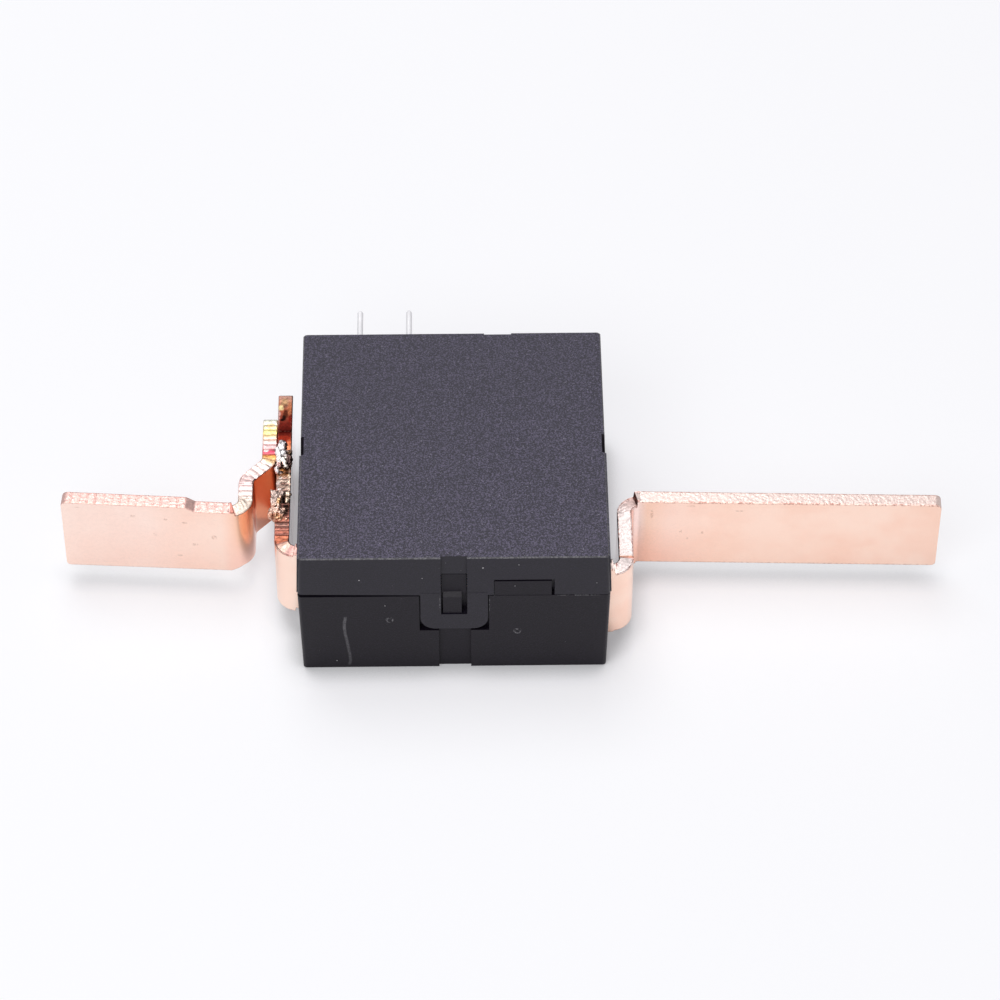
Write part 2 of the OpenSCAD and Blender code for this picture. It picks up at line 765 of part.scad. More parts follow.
// A weld: a flat seam down the strip's sides, a saddle on its top and a lumpy crest.
// tops holds the upper edges of the strips in front of the weld and behind it. Each drop
// of the crest has its centre, from the copper's top left corner, and its radius, in
// strip thicknesses.
module weld_bead(y, tops, drops, left_seam) {
    top = left_run_hi;
    y_ends = [y - seam_w / 2, y + seam_w / 2];
    right_x = left_mid_x + strip_t / 2;
    left_x = left_mid_x - strip_t / 2;
    seam_z = [left_run_lo + 2 * seam_t, top + seam_t];
    difference() {
        union() {
            span([right_x, right_x + seam_t], y_ends, seam_z);
            span([left_x - (left_seam ? seam_t : 0), right_x + seam_t], y_ends,
                [min(tops) - seam_t, top + seam_t]);
            if (left_seam) span([left_x - seam_t, left_x], y_ends, seam_z);
            for (i = [1 : len(drops) - 1])
                hull() {
                    weld_drop([left_x, y, top], drops[i - 1]);
                    weld_drop([left_x, y, top], drops[i]);
                }
        }
        side_strip([y - shunt_l, y], [0, tops[0]]);
        side_strip([y - eps, y + shunt_l], [0, min(tops)]);
        side_strip([y, y + shunt_l], [0, tops[1]]);
        if (!left_seam) lap_zone();
    }
}

module weld_drop(corner, drop) {
    translate(corner + strip_t * [drop[0], drop[1], drop[2]])
        sphere(r = strip_t * drop[3], $fn = 20);
}

// The space that the load bar takes beside the strip
module lap_zone() {
    span([lap_x - 2 * strip_t, lap_x + strip_t / 2 + fit / 2],
        [front_y + jog_start - jog_l, front_y + bar_end + 2 * fit], [0, bar_run_hi]);
}

module weld_bead_front() color(weld_metal)
    weld_bead(weld_1_y, [left_run_hi, left_run_hi - shunt_drop],
        [[-0.17, -0.33, -0.73, 0.33], [0.07, -0.67, -0.1, 0.43], [-0.07, 0.07, -0.03, 0.5],
        [0.37, 0.4, 0.03, 0.4], [0.17, 0.9, -0.2, 0.43]], true);

module weld_bead_rear() color(weld_metal)
    weld_bead(weld_2_y, [left_run_hi - shunt_drop, left_run_hi],
        [[0.33, -0.8, -0.2, 0.33], [0.4, -0.13, -0.1, 0.5], [0.6, 0.4, -0.07, 0.43],
        [0.37, 0.87, 0, 0.4]], false);

// The left bar: a lap on the tail, a jog away from the case, a bend and the arm
module load_bar() color(copper) {
    arm_dir = [-cos(left_skew), sin(left_skew)];
    jog_y = front_y + jog_start;
    corner = [bar_x, left_arm_y];
    end = corner + (left_reach + bar_x) / cos(left_skew) * arm_dir;
    arm_x = bar_x - strip_t / 2 - stub_out;
    difference() {
        intersection() {
            strip_plan([[lap_x, front_y + bar_end], [lap_x, jog_y],
                [bar_x, jog_y - jog_l], corner, end]);
            union() {
                strip_view([[[arm_x, lap_x + strip_t], [bar_run_lo, bar_run_hi]]]);
                // The arm, with the sloped step up to its higher outer part
                translate([0, case_d, 0]) rotate([90, 0, 0]) linear_extrude(2 * case_d)
                    polygon([[arm_x, bar_lo], [arm_x, bar_arm_hi], [-rise_x, bar_arm_hi],
                        [-rise_x - rise_l, bar_tip_hi], [-left_reach - cut, bar_tip_hi],
                        [-left_reach - cut, bar_tip_lo], [-left_reach, bar_tip_lo]]);
            }
        }
        translate([end[0], end[1], 0]) rotate(180 - left_skew)
            arm_corners([bar_tip_lo, arm_r_lo], [bar_tip_hi, arm_r_hi]);
    }
}

// A pin: square as far as the case's back, round behind it, with a tapered tip
module coil_pin(x) {
    tip = 0.25;
    tip_y = half_d + pin_l - tip;
    pin_root(x, pin_neck_y);
    translate([x, pin_neck_y - eps, pin_z]) rotate([-90, 0, 0])
        cylinder(r = pin_r, h = tip_y - pin_neck_y + eps);
    translate([x, tip_y, pin_z]) rotate([-90, 0, 0])
        cylinder(r1 = pin_r, r2 = pin_r - tip / 2, h = tip);
}

module pin_root(x, end_y) {
    span([x - pin_r, x + pin_r], [pin_root_y, end_y], [pin_z - pin_r, pin_z + pin_r]);
}

module coil_pin_left() color(tin) coil_pin(pin_x[0]);

module coil_pin_right() color(tin) coil_pin(pin_x[1]);

// The winding's two ends: each rises from the coil and is wrapped round its pin
module coil_leads() color(enamel) {
    wire_r = 0.12;
    wrap_y = [pin_root_y + 4 * fit, pin_root_y + pin_inner_l - 6 * fit];
    start_z = motor_z + sqrt(pow(winding_r, 2) - pow(pin_pitch / 2, 2)) + 2 * fit;
    for (x = pin_x) {
        difference() {
            translate([x, wrap_y[0], pin_z]) rotate([-90, 0, 0])
                cylinder(r = sqrt(2) * pin_r + wire_r, h = wrap_y[1] - wrap_y[0]);
            pin_root(x, half_d);
        }
        translate([x, (wrap_y[0] + wrap_y[1]) / 2, start_z])
            cylinder(r = wire_r, h = pin_z - pin_r - wire_r - start_z, $fn = 16);
    }
}

// Inner faces of the bobbin's two flanges
wind_y = [motor_front + yoke_t + fit + flange_t, motor_back - yoke_t - fit - flange_t];

module coil_bobbin() color(nylon) {
    difference() {
        union() {
            for (y = [wind_y[0] - flange_t, wind_y[1]])
                span([coil_x - flange_w / 2, coil_x + flange_w / 2], [y, y + flange_t],
                    [motor_z - flange_h / 2, motor_z + flange_h / 2]);
            translate([coil_x, wind_y[0] - flange_t, motor_z]) rotate([-90, 0, 0])
                cylinder(r = tube_r, h = wind_y[1] - wind_y[0] + 2 * flange_t);
            // Block that holds the two coil pins
            span([pin_x[0] - pin_block_over, pin_x[1] + pin_block_over],
                [wind_y[1], motor_back], pin_block_z);
        }
        translate([coil_x, motor_front - cut, motor_z]) rotate([-90, 0, 0])
            cylinder(r = core_r + fit, h = motor_back - motor_front + 2 * cut);
        for (x = pin_x) pin_root(x, half_d);
    }
}

module coil_winding() color(enamel) {
    difference() {
        translate([coil_x, wind_y[0] + fit, motor_z]) rotate([-90, 0, 0])
            cylinder(r = winding_r, h = wind_y[1] - wind_y[0] - 2 * fit);
        translate([coil_x, wind_y[0] - cut, motor_z]) rotate([-90, 0, 0])
            cylinder(r = tube_r + fit, h = wind_y[1] - wind_y[0] + 2 * cut);
    }
}

// The core: a round bar with a thinner riveted end through each yoke
module coil_core() color(iron) {
    bar = [motor_front + yoke_t, motor_back - yoke_t];
    rivet_out = 0.2;
    translate([coil_x, bar[0], motor_z]) rotate([-90, 0, 0])
        cylinder(r = core_r, h = bar[1] - bar[0]);
    translate([coil_x, motor_front - rivet_out, motor_z]) rotate([-90, 0, 0])
        cylinder(r = core_end_r, h = motor_back - motor_front + 2 * rivet_out);
}

// A yoke: a plate across the coil's end, bent to a pole tongue between the armature plates
module yoke(y, toward) {
    plate_y = y + toward * yoke_t / 2;
    tongue_y = y + toward * (yoke_t + pole_l);
    z = [motor_z - yoke_h / 2, motor_z + yoke_h / 2];
    difference() {
        union() {
            span([coil_x - yoke_h / 2, pivot_x + yoke_t / 2],
                [plate_y - yoke_t / 2, plate_y + yoke_t / 2], z);
            span([pivot_x - yoke_t / 2, pivot_x + yoke_t / 2],
                [min(plate_y, tongue_y), max(plate_y, tongue_y)], z);
        }
        yoke_corner(plate_y, toward);
        cross_hole(coil_x, motor_z, core_end_r);
    }
}

// Rounds the outside of the yoke's bend
module yoke_corner(plate_y, toward) {
    r = yoke_t;
    centre_x = pivot_x + yoke_t / 2 - r;
    centre_y = plate_y + toward * (r - yoke_t / 2);
    difference() {
        translate([centre_x, centre_y, 0]) mirror([0, toward > 0 ? 1 : 0, 0])
            cube([r + cut, r + cut, total_h]);
        translate([centre_x, centre_y, -cut]) cylinder(r = r, h = total_h + 2 * cut);
    }
}

module yoke_front() color(iron) yoke(motor_front, 1);

module yoke_rear() color(iron) yoke(motor_back, -1);

module armature_core(grow) {
    for (sx = [-1, 1])
        translate([sx * (plate_in_x + plate_t / 2), 0, 0])
            cube([plate_t + 2 * grow, 2 * plate_half_l + 2 * grow, yoke_h + 2 * grow],
                center = true);
    cube([2 * plate_in_x + grow, magnet_l + 2 * grow, yoke_h + 2 * grow], center = true);
}

// The moulded carrier: a cage round the magnet, two trunnions and the drive arm
module armature_carrier() color(nylon) at_rest() {
    grow = 0.02;
    collar = [0.5, 0.2];
    arm_z = [-arm_h / 2, arm_h / 2];
    arm_root = 1.2;
    arm_thin = tip_r - 0.2;
    neck_x = card_x[0] - pivot_x - 4 * card_play;
    difference() {
        union() {
            cube([2 * carrier_x, 2 * carrier_y, carrier_h], center = true);
            translate([0, 0, trunnion_z[0] - motor_z])
                cylinder(r = trunnion_r, h = trunnion_z[1] - trunnion_z[0]);
            translate([0, 0, -carrier_h / 2 - collar[1]])
                cylinder(r = trunnion_r + collar[0], h = carrier_h + 2 * collar[1]);
        }
        armature_core(grow);
    }
    hull() {
        span([carrier_x - eps, carrier_x], [-arm_root, arm_root], arm_z);
        span([neck_x - eps, neck_x], [-arm_thin, arm_thin], arm_z);
    }
    span([neck_x - eps, arm_reach], [-arm_thin, arm_thin], arm_z);
    translate([arm_reach, 0, -arm_h / 2]) cylinder(r = tip_r, h = arm_h);
}

module armature_plate(side) {
    at_rest() translate([side * (plate_in_x + plate_t / 2), 0, 0])
        cube([plate_t, 2 * plate_half_l, yoke_h], center = true);
}

module armature_plate_left() color(iron) armature_plate(-1);

module armature_plate_right() color(iron) armature_plate(1);

module armature_magnet() color(ferrite) at_rest()
    cube([2 * plate_in_x, magnet_l, yoke_h], center = true);

// The card: a bar with a slot for the spring ends and a notch for the drive arm
module pusher_card() color(nylon) {
    z = [motor_z - card_h / 2, motor_z + card_h / 2];
    leaf_play = 0.25;
    slot_mid = leaf_y + stack_t / 2;
    slot_half = stack_t / 2 + leaf_play;
    notch_half = tip_r + card_play;
    web = 0.7;
    end_wall = 1.1;
    recess_t = 0.8;
    rim = 1.2;
    difference() {
        span(card_x, [slot_mid - slot_half - end_wall, card_rest_y + notch_half + end_wall], z);
        span([card_x[0] - cut, card_x[1] - web],
            [slot_mid - slot_half, slot_mid + slot_half],
            leaf_z * [1, 1] + (leaf_tip_h / 2 + leaf_play) * [-1, 1]);
        span([card_x[0] - cut, card_mid + tip_r + 2 * card_play],
            [card_rest_y - notch_half, card_rest_y + notch_half], [z[0] - cut, z[1] + cut]);
        // Lightening recess along the card's inner side
        span([card_x[0] - cut, card_x[0] + recess_t],
            [partition_y + 2 * end_wall, card_rest_y - 2 * end_wall],
            [z[0] + rim, z[1] - rim]);
    }
}

// One spring leaf: a rooted end, two contact fingers and a narrow driven end
module spring_leaf(i) {
    y = [leaf_y + i * leaf_t, leaf_y + (i + 1) * leaf_t];
    root_x = -in_x + 0.8;
    slot_start = plate_end_x + 3;
    finger_end = contact_x + contact_r + leaf_slot_h;
    tip_x = card_x[1] - 1;
    difference() {
        union() {
            span([root_x, finger_end], y, [leaf_z - leaf_h / 2, leaf_z + leaf_h / 2]);
            span([finger_end - eps, tip_x], y,
                [leaf_z - leaf_tip_h / 2, leaf_z + leaf_tip_h / 2]);
        }
        span([slot_start, contact_x + contact_r - leaf_slot_h], [y[0] - cut, y[1] + cut],
            [leaf_z - leaf_slot_h / 2, leaf_z + leaf_slot_h / 2]);
        for (side = [-1, 1]) {
            cross_hole(contact_x, leaf_z + side * contact_pitch / 2, shank_r);
            for (x = rivet_x)
                cross_hole(x, leaf_z + side * contact_pitch / 2, rivet_r);
        }
    }
}

module spring_leaf_front() color(spring_metal) spring_leaf(0);

module spring_leaf_middle() color(spring_metal) spring_leaf(1);

module spring_leaf_back() color(spring_metal) spring_leaf(2);

module spring_rivets() color(copper) {
    for (x = rivet_x, side = [-1, 1])
        rivet(x, leaf_z + side * contact_pitch / 2, [left_y, leaf_y + stack_t], rivet_r,
            [rivet_head_r, rivet_head_t], [rivet_head_r, rivet_head_t]);
}

module moving_contacts() color(silver) {
    for (side = [-1, 1])
        rivet(contact_x, leaf_z + side * contact_pitch / 2, [leaf_y, leaf_y + stack_t],
            shank_r, [contact_r, moving_head_t], [contact_foot_r, rivet_head_t]);
}

module fixed_contacts() color(silver) {
    for (side = [-1, 1])
        rivet(contact_x, leaf_z + side * contact_pitch / 2, [right_y, fixed_back_y],
            shank_r, [contact_foot_r, rivet_head_t], [contact_r, fixed_head_t]);
}

base_housing();
top_cover();
fixed_terminal();
moving_terminal();
shunt_plate();
shunt_tail();
weld_bead_front();
weld_bead_rear();
load_bar();
coil_pin_left();
coil_pin_right();
coil_leads();
coil_bobbin();
coil_winding();
coil_core();
yoke_front();
yoke_rear();
armature_carrier();
armature_plate_left();
armature_plate_right();
armature_magnet();
pusher_card();
spring_leaf_front();
spring_leaf_middle();
spring_leaf_back();
spring_rivets();
moving_contacts();
fixed_contacts();
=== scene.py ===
"""Looks of a magnetic latching power relay, built round its packed construction."""
import json
from dataclasses import dataclass
from math import atan2, copysign, cos, hypot, pi, radians, sin, sqrt, tan

import bmesh
import bpy
import numpy as np
from mathutils import Matrix, Vector, noise

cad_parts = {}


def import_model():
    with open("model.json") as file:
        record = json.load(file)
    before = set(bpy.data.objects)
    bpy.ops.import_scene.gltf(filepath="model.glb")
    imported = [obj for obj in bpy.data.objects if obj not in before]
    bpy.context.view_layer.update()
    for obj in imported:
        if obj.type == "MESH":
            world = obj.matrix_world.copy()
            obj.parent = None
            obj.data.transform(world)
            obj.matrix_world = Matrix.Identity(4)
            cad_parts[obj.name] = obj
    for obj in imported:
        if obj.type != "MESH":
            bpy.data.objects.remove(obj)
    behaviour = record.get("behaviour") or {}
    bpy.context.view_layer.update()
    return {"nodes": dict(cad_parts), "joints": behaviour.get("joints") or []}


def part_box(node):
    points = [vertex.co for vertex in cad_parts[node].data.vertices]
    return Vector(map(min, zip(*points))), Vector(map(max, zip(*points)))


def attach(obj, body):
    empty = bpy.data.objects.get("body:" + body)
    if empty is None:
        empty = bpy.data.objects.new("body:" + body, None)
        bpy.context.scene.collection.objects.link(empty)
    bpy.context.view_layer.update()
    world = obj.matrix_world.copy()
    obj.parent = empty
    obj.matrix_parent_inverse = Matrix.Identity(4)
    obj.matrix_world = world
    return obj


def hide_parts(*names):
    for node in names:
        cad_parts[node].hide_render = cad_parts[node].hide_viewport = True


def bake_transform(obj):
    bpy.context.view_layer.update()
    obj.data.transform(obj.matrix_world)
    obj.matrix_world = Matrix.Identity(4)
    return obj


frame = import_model()

# Lengths here are millimetres; the scene's own unit is the metre
MM = 0.001

# Camera, fitted to the corners of the case in the photograph
FOCAL_PIXELS = 4120
IMAGE_PIXELS = 1000
SENSOR_MM = 36
CAMERA_DISTANCE = 420.5
CAMERA_DROP = radians(47.5)
CASE_TURN = radians(0.84)
CAMERA_ROLL = radians(-0.09)
CAMERA_AIM = Vector((4.757, 0, 7.989))

# Copper strips: thickness, radius of a bend's centre line, rounding of the sheared corners
STRIP_T = 1.5
BEND_R = 1.55
CORNER_R = 0.11
# Overhang of a stub's or an arm's full height past the case or the bend
STUB_OUT = 0.45

rng = np.random.default_rng(7)


def mm_box(node):
    """Lowest and highest corner of a node of the frame, in millimetres."""
    lo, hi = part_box(node)
    return lo / MM, hi / MM


base_lo, base_hi = mm_box("base_housing")
FRONT_Y = base_lo.y
HALF_W = base_hi.x
TOP_Z = mm_box("top_cover")[1].z


# Materials

def put(tree, socket, value):
    """Links another node's socket to this one, or sets this one's value."""
    if isinstance(value, bpy.types.NodeSocket):
        tree.links.new(value, socket)
    elif socket.type == "RGBA":
        socket.default_value = (*value[:3], 1)
    else:
        socket.default_value = value


def add_node(tree, kind, inputs=None, **settings):
    """A new shader node with its settings, and its inputs by name or by number."""
    node = tree.nodes.new("ShaderNode" + kind)
    for key, value in settings.items():
        setattr(node, key, value)
    for key, value in (inputs or {}).items():
        put(tree, node.inputs[key], value)
    return node


class Finish:
    """A node material. Its pattern coordinates are the object's own, in millimetres."""

    def __init__(self, name):
        self.material = bpy.data.materials.new(name)
        self.material.use_nodes = True
        self.tree = self.material.node_tree
        self.tree.nodes.clear()
        self.shader = self.add("BsdfPrincipled")
        self.out = self.add("OutputMaterial", {"Surface": self.shader.outputs[0]})
        place = self.add("TexCoord").outputs["Object"]
        self.place = self.vector("MULTIPLY", place, (1 / MM, 1 / MM, 1 / MM))
        self.x, self.y, self.z = self.add("SeparateXYZ", {"Vector": self.place}).outputs

    def add(self, kind, inputs=None, **settings):
        return add_node(self.tree, kind, inputs, **settings)

    def set(self, **values):
        """Sets the shader's sockets; an underscore in a name stands for a space."""
        for key, value in values.items():
            put(self.tree, self.shader.inputs[key.replace("_", " ")], value)
        return self.material

    def math(self, operation, a, b=0):
        return self.add("Math", {0: a, 1: b}, operation=operation).outputs[0]

    def times(self, first, *others):
        """The product of numbers."""
        for other in others:
            first = self.math("MULTIPLY", first, other)
        return first

    def most(self, a, b):
        return self.math("MAXIMUM", a, b)

    def vector(self, operation, a, b):
        return self.add("VectorMath", {0: a, 1: b}, operation=operation).outputs[0]

    def noise(self, per_mm, detail=2, roughness=0.5, stretch=None):
        place = self.vector("MULTIPLY", self.place, stretch) if stretch else self.place
        return self.add("TexNoise", {"Vector": place, "Scale": per_mm, "Detail": detail,
            "Roughness": roughness}).outputs["Fac"]

    def step(self, value, low, high):
        """Rises smoothly from 0 where value is low to 1 where it is high."""
        return self.add("MapRange", {"Value": value, "From Min": low, "From Max": high},
            interpolation_type="SMOOTHSTEP").outputs["Result"]

    def curve(self, value, stops):
        """A smooth line through stops, each with its place and its height from 0 to 1."""
        node = self.add("ValToRGB", {"Fac": value})
        elements = node.color_ramp.elements
        while len(elements) < len(stops):
            elements.new(0.5)
        for element, (place, height) in zip(elements, stops):
            element.position = place
            element.color = (height, height, height, 1)
        node.color_ramp.interpolation = "CARDINAL"
        return node.outputs["Color"]

    def blend(self, share, a, b):
        """Colour a where share is 0, colour b where it is 1."""
        return self.add("Mix", {0: share, 6: a, 7: b}, data_type="RGBA").outputs[2]

    def level(self, share, a, b):
        """Number a where share is 0, number b where it is 1."""
        return self.add("MapRange", {"Value": share, "To Min": a, "To Max": b}).outputs[0]

    def bump(self, height, depth, strength):
        """Depth is the height in millimetres of a full step from 0 to 1."""
        return self.add("Bump", {"Height": height, "Distance": depth * MM,
            "Strength": strength}).outputs[0]

    def attribute(self, name):
        return self.add("Attribute", attribute_name=name).outputs

    def brighten(self, colour, factor):
        return self.add("HueSaturation", {"Color": colour, "Value": factor}).outputs[0]

    def away(self, centre, radii):
        """Distance from an oval's middle, 1 at its rim."""
        off = self.vector("SUBTRACT", self.place, centre)
        off = self.vector("MULTIPLY", off, tuple(1 / r for r in radii))
        return self.add("VectorMath", {0: off}, operation="LENGTH").outputs["Value"]

    def ovals(self, rows):
        """1 inside any of the ovals, each with its centre and its three radii."""
        share = 0.0
        for centre, radii in rows:
            share = self.most(share, self.step(self.away(centre, radii), 1.15, 0.7))
        return share


def tone(red, green, blue):
    """The linear colour of a display colour from 0 to 255."""
    return tuple(((c / 255 + 0.055) / 1.055) ** 2.4 for c in (red, green, blue))


# Colours of the black plastic. Their blue tint is a painted reflection of the pale blue
# surroundings; the top's pale tone is partly the eroded grain's own.
COVER_WALL = (0.0082, 0.0062, 0.0135)
# The base's wall colour is a darker copy of the cover's: painted shade
BASE_WALL_SHADED = (0.0062, 0.0042, 0.009)
TOP_DARK = (0, 0, 0.004)
TOP_PALE_WITH_REFLECTED_BLUE = (0.132, 0.115, 0.188)
TOP_SPARK = (0.3, 0.28, 0.36)
DUST = (0.42, 0.41, 0.43)
# Pale colour of the wear marks on the front, and of the painted highlights along its edges
PALE_WEAR_AND_HIGHLIGHT = (0.16, 0.155, 0.17)

# Pale specks on the front: x, z and radius
SPECKS = ((-9.35, 13.46, 0.08), (-3.14, 13.67, 0.05), (2.87, 15.07, 0.09),
    (0.7, 14.36, 0.06), (6.02, 12.5, 0.05), (6.4, 15.47, 0.05), (-6.86, 9.68, 0.06),
    (-11.86, 1.17, 0.07), (14.1, 12.8, 0.05), (-0.8, 15.5, 0.06))
# Ring marks of the mould's ejectors, x and z, with the radius of a ring
EJECTOR_MARKS = ((-6.46, 7.46), (6.3, 5.59))
EJECTOR_R = 0.36
# Painted highlights along bright stretches of edges on the front: x, z and their radii
PAINTED_EDGE_HIGHLIGHTS = ((12.4, 11.06, 2.4, 0.05), (3.98, 11.7, 0.06, 0.7), (3.5, 9.9, 0.07, 1.2),
    (1, 0.04, 0.7, 0.07), (-1.42, 9.9, 0.05, 1.2), (-3.4, 9.6, 0.05, 1.3))
# How deep behind the front face these marks go
FRONT_DEEP = 0.5

# The pale rubbed line on the front of the base: heights of its ends, half its width, and
# its points, each with the share of the height and its x
SCRATCH_Z = (0.35, 8.1)
SCRATCH_HALF = 0.22
SCRATCH_X = ((0, -10.62), (0.14, -10.5), (0.53, -10.8), (0.82, -10.98), (1, -10.82))
# Lowest x and width of the band that the line is worked out in
SCRATCH_BAND = (-12, 2)


def plastic_finish(name, wall, sheen):
    """Black moulded plastic: spark-eroded on the top, satin on the walls."""
    f = Finish(name)
    normal = f.add("NewGeometry").outputs["True Normal"]
    up = f.add("SeparateXYZ", {"Vector": normal}).outputs["Z"]
    high = f.step(f.z, TOP_Z - 0.5, TOP_Z - 0.3)
    top = f.times(f.step(up, 0.8, 0.95), high)
    # Painted highlight on the narrow sloped band just below the top's edges
    top_edge_highlight = f.times(f.step(up, 0.3, 0.5), f.step(up, 0.95, 0.8), high)
    relief = f.noise(6.2, 3, 0.75)
    contrast = f.level(f.step(f.y, -12, 14), 1.1, 0.8)
    crest = f.times(f.step(relief, 0.45, 0.66), contrast)
    cloud = f.level(f.noise(0.16, 3), 0.88, 1.12)
    eroded = f.blend(f.math("ADD", f.times(crest, 0.9), 0.1), TOP_DARK, TOP_PALE_WITH_REFLECTED_BLUE)
    spark = f.times(f.step(f.noise(5, 2, 0.6), 0.655, 0.73), contrast, 0.8)
    eroded = f.blend(spark, eroded, TOP_SPARK)
    colour = f.blend(top, f.brighten(wall, f.level(crest, 0.8, 1.5)), eroded)
    colour = f.brighten(colour, cloud)
    front = f.step(f.y, FRONT_Y + FRONT_DEEP, FRONT_Y + FRONT_DEEP - 0.1)
    rings = 0.0
    for x, z in EJECTOR_MARKS:
        away = f.away((x, FRONT_Y, z), (EJECTOR_R, 1, EJECTOR_R))
        rings = f.most(rings, f.times(f.step(away, 1.3, 0.95), f.step(away, 0.4, 0.8)))
    patchy = f.step(f.noise(5, 2), 0.42, 0.6)
    specks = f.ovals([((x, FRONT_Y, z), (r, 1, r)) for x, z, r in SPECKS])
    edge_highlights = f.ovals([((x, FRONT_Y, z), (rx, 1, rz)) for x, z, rx, rz in PAINTED_EDGE_HIGHLIGHTS])
    # Ejector rings and the rubbed line are wear; the edge stretches and the band below the top's
    # edges get painted highlights
    wear_and_highlights = f.times(f.most(f.times(rings, 0.95), f.times(edge_highlights, 0.8)), patchy)
    wear_and_highlights = f.most(wear_and_highlights, f.times(scratch_share(f), f.level(patchy, 0.6, 1)))
    wear_and_highlights = f.most(f.times(wear_and_highlights, front), f.times(top_edge_highlight, f.level(patchy, 0.3, 0.9)))
    colour = f.blend(wear_and_highlights, colour, PALE_WEAR_AND_HIGHLIGHT)
    scattered = f.times(f.step(f.noise(3.1, 3, 0.7), 0.745, 0.775), 0.35)
    colour = f.blend(f.most(scattered, f.times(specks, front)), colour, DUST)
    height = f.times(relief, f.level(top, 0.22, 1))
    return f.set(Base_Color=colour, Roughness=f.level(top, 0.42, 0.55),
        Specular_IOR_Level=f.level(top, sheen, 0.42), Normal=f.bump(height, 0.12, 0.8))


def scratch_share(f):
    """1 on the rubbed line of the base's front, and 0 elsewhere."""
    t = f.math("DIVIDE", f.math("SUBTRACT", f.z, SCRATCH_Z[0]), SCRATCH_Z[1] - SCRATCH_Z[0])
    low, width = SCRATCH_BAND
    middle = f.curve(t, [(share, (x - low) / width) for share, x in SCRATCH_X])
    middle = f.math("ADD", f.times(middle, width), low)
    off = f.math("ABSOLUTE", f.math("SUBTRACT", f.x, middle))
    line = f.step(off, SCRATCH_HALF, SCRATCH_HALF * 0.3)
    inside = f.times(f.step(t, 0, 0.05), f.step(t, 1, 0.96))
    return f.times(line, inside, f.level(t, 0.35, 0.8))


# Shares that a strip's points carry: of the sheared edge, the dark line beside it, the
# painted shade in the grooves of its scallops and the smooth side beside the case
SHARES = ("edge", "line", "groove", "polish")
EDGE_TONES = ((0.5, 0.38, 0.345), (0.62, 0.51, 0.475))
# The sheared edges catch the lamps; their painted tones are taken down by this
EDGE_SHARE = 0.6
LINE_BROWN = (0.34, 0.12, 0.09)
# Painted shade in the grooves of the scallops
GROOVE_PAINTED_SHADE = (0.48, 0.24, 0.2)
MARK_BROWN = (0.52, 0.28, 0.2)
# Small stains on the arms' fronts: x, y, z and their radii along x and z
ARM_MARKS = ((-38, -5, 11, 0.5, 0.16), (-32.4, -4.6, 10.1, 0.3, 0.2),
    (-29.1, -4.6, 9.8, 0.22, 0.2), (-27.2, -4.6, 9.4, 0.3, 0.16), (-30.3, -4.6, 7.5, 0.2, 0.3),
    (-26.3, -4.6, 6.2, 0.35, 0.2), (-27.9, -4.6, 4.4, 0.3, 0.16), (-24.3, -4.6, 7.4, 0.3, 0.4),
    (20.1, -3.3, 9.3, 0.16, 0.7), (23.1, -3.5, 6.7, 0.16, 0.3), (25.3, -3.5, 6.6, 0.14, 0.25),
    (23.8, -3.5, 5.7, 0.1, 0.16), (24.1, -3.5, 10.55, 0.5, 0.14), (24.7, -3.5, 10.95, 0.4, 0.1),
    (29, -3.7, 9.9, 0.5, 0.1))


def copper_finish(name, light, dark):
    """Bare rolled metal with sheared edges."""
    f = Finish(name)
    edge, line, groove, polish = [f.attribute(key)["Fac"] for key in SHARES]
    tint = f.attribute("tint")
    cloud = f.step(f.noise(0.17, 3, 0.6), 0.3, 0.7)
    rolled = f.noise(1.4, 3, 0.6, (0.25, 0.25, 3))
    marks = f.ovals([((x, y, z), (rx, 2, rz)) for x, y, z, rx, rz in ARM_MARKS])
    marks = f.times(marks, f.step(f.noise(4, 3, 0.7), 0.4, 0.58), 0.4)
    shear = f.noise(5.5, 4, 0.65)
    rough_edge = f.blend(f.step(shear, 0.35, 0.62), *EDGE_TONES)
    colour = f.blend(edge, f.blend(cloud, light, dark), rough_edge)
    uneven = f.math("SUBTRACT", f.step(f.noise(3.2, 3, 0.65), 0.3, 0.7), 0.6)
    uneven = f.math("ADD", f.times(uneven, f.level(edge, 0.06, 0.45)), 1)
    tinted = f.brighten(tint["Color"], f.times(uneven, f.level(edge, 1, EDGE_SHARE)))
    colour = f.blend(tint["Alpha"], colour, tinted)
    colour = f.blend(marks, colour, MARK_BROWN)
    # Painted shade in the scallops' grooves
    colour = f.blend(groove, colour, GROOVE_PAINTED_SHADE)
    broken = f.step(f.noise(4.2, 3, 0.7), 0.44, 0.6)
    colour = f.blend(f.times(line, broken), colour, LINE_BROWN)
    grey = f.add("RGBToBW", {"Color": tint["Color"]}).outputs[0]
    burnt = f.times(f.step(grey, 0.12, 0.02), tint["Alpha"], 0.25)
    height = f.math("ADD", f.times(shear, f.level(edge, 0.04, 1)),
        f.times(rolled, f.level(edge, 0.1, 0)))
    roughness = f.math("ADD", f.level(edge, 0.22, 0.38), burnt)
    return f.set(Base_Color=colour, Metallic=1,
        Roughness=f.times(roughness, f.level(polish, 1, 0.15)),
        Normal=f.bump(f.times(height, f.level(polish, 1, 0)), 0.014, 0.7))


def weld_finish(name):
    """Frozen splashes of melted metal. The mesh carries the tone of each place."""
    f = Finish(name)
    mottle = f.step(f.noise(4.5, 4, 0.7), 0.3, 0.6)
    pits = f.times(f.step(f.noise(2.6, 4, 0.7), 0.4, 0.33), 0.85)
    colour = f.brighten(f.attribute("tint")["Color"], f.level(mottle, 0.6, 1.3))
    colour = f.blend(pits, colour, (0.05, 0.03, 0.028))
    return f.set(Base_Color=colour, Metallic=0.9, Roughness=f.level(mottle, 0.5, 0.25),
        Normal=f.bump(f.noise(6, 4, 0.7), 0.05, 0.7))


